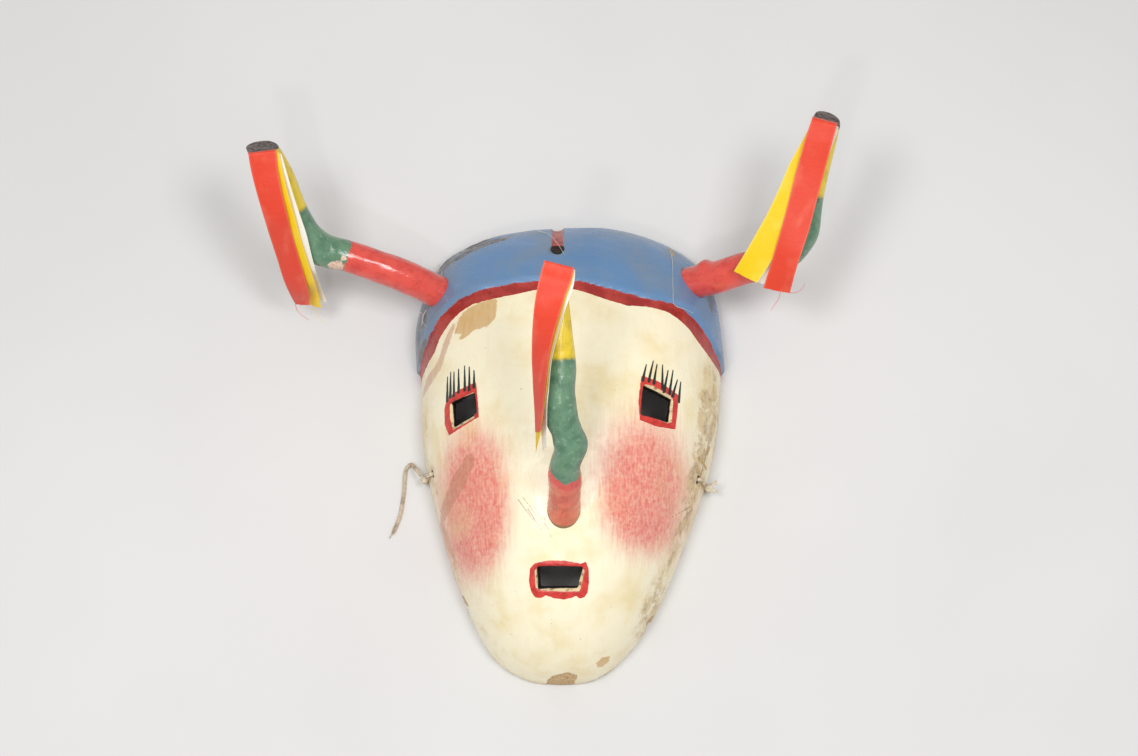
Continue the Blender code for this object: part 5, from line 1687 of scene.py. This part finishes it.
# Fineness of a ribbon across and between its stations, and half its thickness
RIBBON_COLUMNS = 13
RIBBON_STEPS = 34
HALF_THICK = 0.00013


def build_ribbon(name, ribbon, finish, node, seed, below):
    """A satin ribbon between its two edges, over the things below, with a slightly frayed end."""
    columns = RIBBON_COLUMNS
    lefts, rights = (np.array([tuple(p) for p in smooth_points(edge, RIBBON_STEPS)])
                     for edge in ribbon_edges(ribbon))
    shares = np.linspace(0.0, 1.0, columns)[None, :, None]
    grid = lay_over(lefts[:, None] * (1 - shares) + rights[:, None] * shares, below)
    centres = [Vector(row) for row in grid[:, columns // 2]]
    tangents = [frame_here[0] for frame_here in frames_along(centres)]
    gone = [0.0]
    for a, b in zip(centres, centres[1:]):
        gone.append(gone[-1] + (b - a).length)
    verts, across_values, down_values = [], [], []
    for layer in (1, -1):
        for i, (row, tangent) in enumerate(zip(grid, tangents)):
            side = Vector(row[-1] - row[0]).normalized()
            face = tangent.cross(side).normalized()
            share = gone[i] / gone[-1]
            free = min(1.0, share * 3.0)
            for j in range(columns):
                u = -1.0 + 2.0 * j / (columns - 1)
                point = Vector(row[j])
                if abs(u) == 1.0:
                    point += side * u * 0.0002 * max(0.0, math.sin(math.tau * gone[i] / 0.00115))
                lift = 0.0003 * (0.5 - u * u) + 0.00014 * math.sin(9.0 * share + seed) * u
                lift += 0.00025 * noise.noise(Vector((u * 0.7, share * 5.0, seed)))
                tail = max(0.0, (share - 0.97) / 0.03)
                shift = 0.0005 * tail * tail * noise.noise(Vector((u * 7.0, seed, 4.0 + row[0][0])))
                verts.append(point + face * (lift * free + layer * HALF_THICK) + tangent * shift)
                across_values.append(u)
                down_values.append(gone[i] / MM)
    stations = len(centres)
    count = stations * columns
    faces = []
    for i in range(stations - 1):
        for j in range(columns - 1):
            a = i * columns + j
            faces.append((a, a + 1, a + columns + 1, a + columns))
            faces.append((count + a, count + a + columns, count + a + columns + 1, count + a + 1))
    border = list(range(columns))
    border += [i * columns + columns - 1 for i in range(1, stations)]
    border += [(stations - 1) * columns + j for j in range(columns - 2, -1, -1)]
    border += [i * columns for i in range(stations - 2, 0, -1)]
    for a, b in zip(border, border[1:] + border[:1]):
        faces.append((a, b, count + b, count + a))
    thing = add_piece(name, verts, faces, finish,
                      {"across": across_values, "down": down_values}, node, smooth=30)
    return grid.reshape(-1, 3)


def knot_line(centre, size, axis, turns=150):
    """A closed overhand knot drawn tight, as a line."""
    axis = axis.normalized()
    across = axis.orthogonal().normalized()
    up = axis.cross(across)
    points = []
    for k in range(turns):
        t = 2 * math.pi * k / turns
        wide = (math.sin(t) + 2 * math.sin(2 * t)) / 3
        tall = (math.cos(t) - 2 * math.cos(2 * t)) / 3
        deep = -math.sin(3 * t)
        points.append(centre + (across * wide + up * tall) * size + axis * deep * size * 0.42)
    return points


def thread_piece(name, lines, radius, finish):
    """Loose fibres along short lines given in metres in the part's frame."""
    parts = []
    for line in lines:
        smooth = smooth_points([Vector(p) for p in line], 8)
        parts.append(strand(smooth, radius, 5, taper=lambda s: 1.0 - 0.45 * s))
    verts, faces = gather(parts)
    return add_piece(name, verts, faces, finish)


def build_ties(pale, tail_finish):
    """The loops through the ear holes with their knots, and the left cord's free end."""
    for name, tie, stubs in (("left", LEFT_TIE, []), ("right", RIGHT_TIE, RIGHT_STUBS)):
        loop = smooth_points(tie.loop_points(), 3, closed=True)
        line = smooth_points(loop, 5, closed=True)
        parts = [twisted(line, tie.radius, 0.0042, closed=True)]
        for size, radius, axis in ((0.62, 0.00078, tie.normal),
                                   (0.5, 0.00068, Vector((0.3, 0.9, 0.3)))):
            knot = knot_line(tie.knot, KNOT_RADIUS * size, axis)
            parts.append(strand(knot, radius, 9, closed=True))
        for way in stubs:
            end = tie.knot + Vector(way) * KNOT_RADIUS * 0.98
            route = evenly([tie.knot, tie.knot.lerp(end, 0.5), end], 14)
            parts.append(twisted(route, 0.92 * tie.radius, 0.004))
        verts, faces = gather(parts)
        add_piece(f"{name}_loop", verts, faces, pale,
                  node=f"{name}_tie_loop")
    points = [Vector((LEFT_TIE.knot.x + x, LEFT_TIE.knot.y + y, z)) for x, y, z in LEFT_TAIL]
    route = evenly(points, 14)
    fine = evenly(route, 150)
    verts, faces = twisted(fine, CORD_DIAMETER / 2, 0.0042)
    tail = add_piece("left_cord", verts, faces, tail_finish,
                     node="left_tie_cord")
    path = evenly(route, 30)
    end, way = fine[-1], (fine[-1] - fine[-4]).normalized()
    hairs = []
    for k in range(7):
        side = Vector((math.cos(1.9 * k), math.sin(2.3 * k), 0.0)) * 0.0013
        lift = Vector((0.0, 0.0, 0.0004 * math.sin(1.3 * k)))
        hairs.append([end - way * 0.002 + side * 0.25, end + way * 0.0006 + side * 0.5 + lift,
                      end + way * (0.0018 + 0.0004 * (k % 3)) + side - lift * 0.5])
    fray = thread_piece("left_cord_fray", hairs, 0.00022, tail_finish)


def over_face(x, y, lift):
    """A place over the painted side, from millimetres in plan and the height above it."""
    shares = (x * MM / MASK_WIDTH, y * MM / MASK_HEIGHT)
    point, normal = on_dome(shares)
    return point + normal * lift * MM


# Pale threads and glue over the painted side: x and y in plan and the height, in millimetres
CAP_THREADS = [
    [(-69.5, 118.0, 3.2), (-67.8, 101.4, 3.4), (-68.6, 94.4, 3.0), (-70.5, 85.0, 2.9)],
    [(-17.0, 127.0, 2.9), (-11.0, 122.0, 3.4), (-6.0, 113.0, 3.4), (-2.2, 104.8, 2.9)],
    [(55.1, 118.0, 2.8), (55.6, 104.6, 3.1), (55.0, 86.4, 2.9), (55.3, 76.5, 2.8),
     (60.5, 75.2, 2.9), (65.4, 74.5, 2.7)],
    [(-74.0, 119.0, 3.4), (-70.4, 112.0, 4.2), (-71.6, 104.0, 3.6), (-70.0, 97.0, 4.0),
     (-72.6, 92.0, 3.2), (-75.9, 88.0, 3.0)],
    [(-72.0, 116.0, 3.2), (-69.0, 108.0, 3.6), (-70.6, 99.0, 4.4), (-73.4, 95.0, 3.2)],
    [(-80.0, 84.0, 2.9), (-77.4, 79.0, 3.2), (-78.6, 74.0, 2.9)],
    [(-76.0, 82.0, 2.9), (-78.0, 77.0, 3.2), (-75.6, 71.0, 2.9)],
]


def build_threads(finish):
    """Pale threads and glue on the cap and at the left horn's root."""
    lines = [[over_face(*spot) for spot in line] for line in CAP_THREADS]
    thread_piece("cap_threads", lines, 0.00013, finish)


def build_loose(satin):
    """Single threads that have come out of the ribbons' cut ends."""
    for side, colour, lines in LOOSE_THREADS:
        routes = [[Vector(p) * MM for p in line] for line in lines]
        thread_piece(f"{side}_{colour}_thread", routes, 0.00016, satin[colour])


def build_floor(finish):
    size = 4.0
    mesh = bpy.data.meshes.new("floor")
    low = -0.00002
    mesh.from_pydata([(-size, -size, low), (size, -size, low), (size, size, low), (-size, size, low)],
                     [], [(0, 1, 2, 3)])
    mesh.materials.append(finish)
    floor = bpy.data.objects.new("floor", mesh)
    bpy.context.collection.objects.link(floor)


def add_lamp(name, position, power, size):
    data = bpy.data.lights.new(name, "AREA")
    data.energy = power
    data.size = size
    lamp = bpy.data.objects.new(name, data)
    bpy.context.collection.objects.link(lamp)
    lamp.location = Vector(position) + SHIFT
    aim = Vector((0.0, 0.02, 0.03)) - Vector(position)
    lamp.rotation_euler = aim.to_track_quat("-Z", "Y").to_euler()


def light_scene():
    world = bpy.data.worlds.new("pale room")
    world.use_nodes = True
    back = world.node_tree.nodes["Background"]
    back.inputs["Color"].default_value = (1.0, 0.99, 0.98, 1.0)
    back.inputs["Strength"].default_value = 0.47
    bpy.context.scene.world = world
    add_lamp("left lamp", (-0.38, -0.08, 1.25), 5.0, 0.32)
    add_lamp("right lamp", (0.38, -0.08, 1.25), 5.0, 0.32)
    add_lamp("front lamp", (0.0, -0.42, 1.30), 1.4, 0.5)
    add_lamp("glint lamp", (-0.16, -0.62, 1.12), 1.1, 0.07)
    bpy.context.scene.view_settings.view_transform = "Standard"


# Each satin's body, its shaded threads, and its pale colour for the edge's dots and for the painted
# sheen
SATIN_COLOURS = {
    "red": (linear(230, 74, 50), linear(212, 56, 38), linear(238, 132, 108)),
    "yellow": (linear(246, 208, 26), linear(234, 188, 14), linear(250, 228, 110)),
    "white": (linear(250, 247, 238), linear(236, 231, 218), linear(252, 250, 244)),
}


def build_branches():
    """The three branches, and each one's points for the ribbons that lie over it."""
    left = branch_finish("gloss paint on the left horn", 56.0, 95.0)
    right = branch_finish("gloss paint on the right horn", 58.0, 93.5)
    nose = branch_finish("gloss paint on the nose", 31.5, 96.0, ringed=True, slant=5.0)
    return {
        "left": build_branch("left_branch", LEFT_HORN, left, "left_horn", cut=LEFT_CUT,
                             reach=1.6, bends=LEFT_BENDS, bare=LEFT_BARE),
        "right": build_branch("right_branch", RIGHT_HORN, right, "right_horn", cut=RIGHT_CUT,
                              reach=2.4, dark=RIGHT_DARK),
        "nose": build_branch("nose_branch", NOSE, nose, "nose_horn", ringed=1.0,
                             relief=NOSE_RELIEF, thin=0.36, bends=NOSE_BENDS, bare=NOSE_BARE),
    }


def main():
    build_ties(cord_finish("soiled white cord", linear(226, 214, 190), linear(176, 152, 118)),
               cord_finish("tan cord", linear(206, 190, 166), linear(170, 150, 122)))
    build_mask(face_finish())
    satin = {colour: satin_finish(f"{colour} satin", *shades)
             for colour, shades in SATIN_COLOURS.items()}
    for number, (side, branch_points) in enumerate(build_branches().items()):
        below = [branch_points]
        for colour in ("white", "yellow", "red"):
            ribbon = f"{side}_{colour}"
            below.append(build_ribbon(f"{ribbon}_satin", ribbon, satin[colour],
                                      f"{ribbon}_ribbon", 2.3 * number, below))
    build_loose(satin)
    build_threads(cord_finish("white thread", linear(244, 240, 230), linear(222, 210, 190)))
    build_floor(floor_finish())
    light_scene()


main()
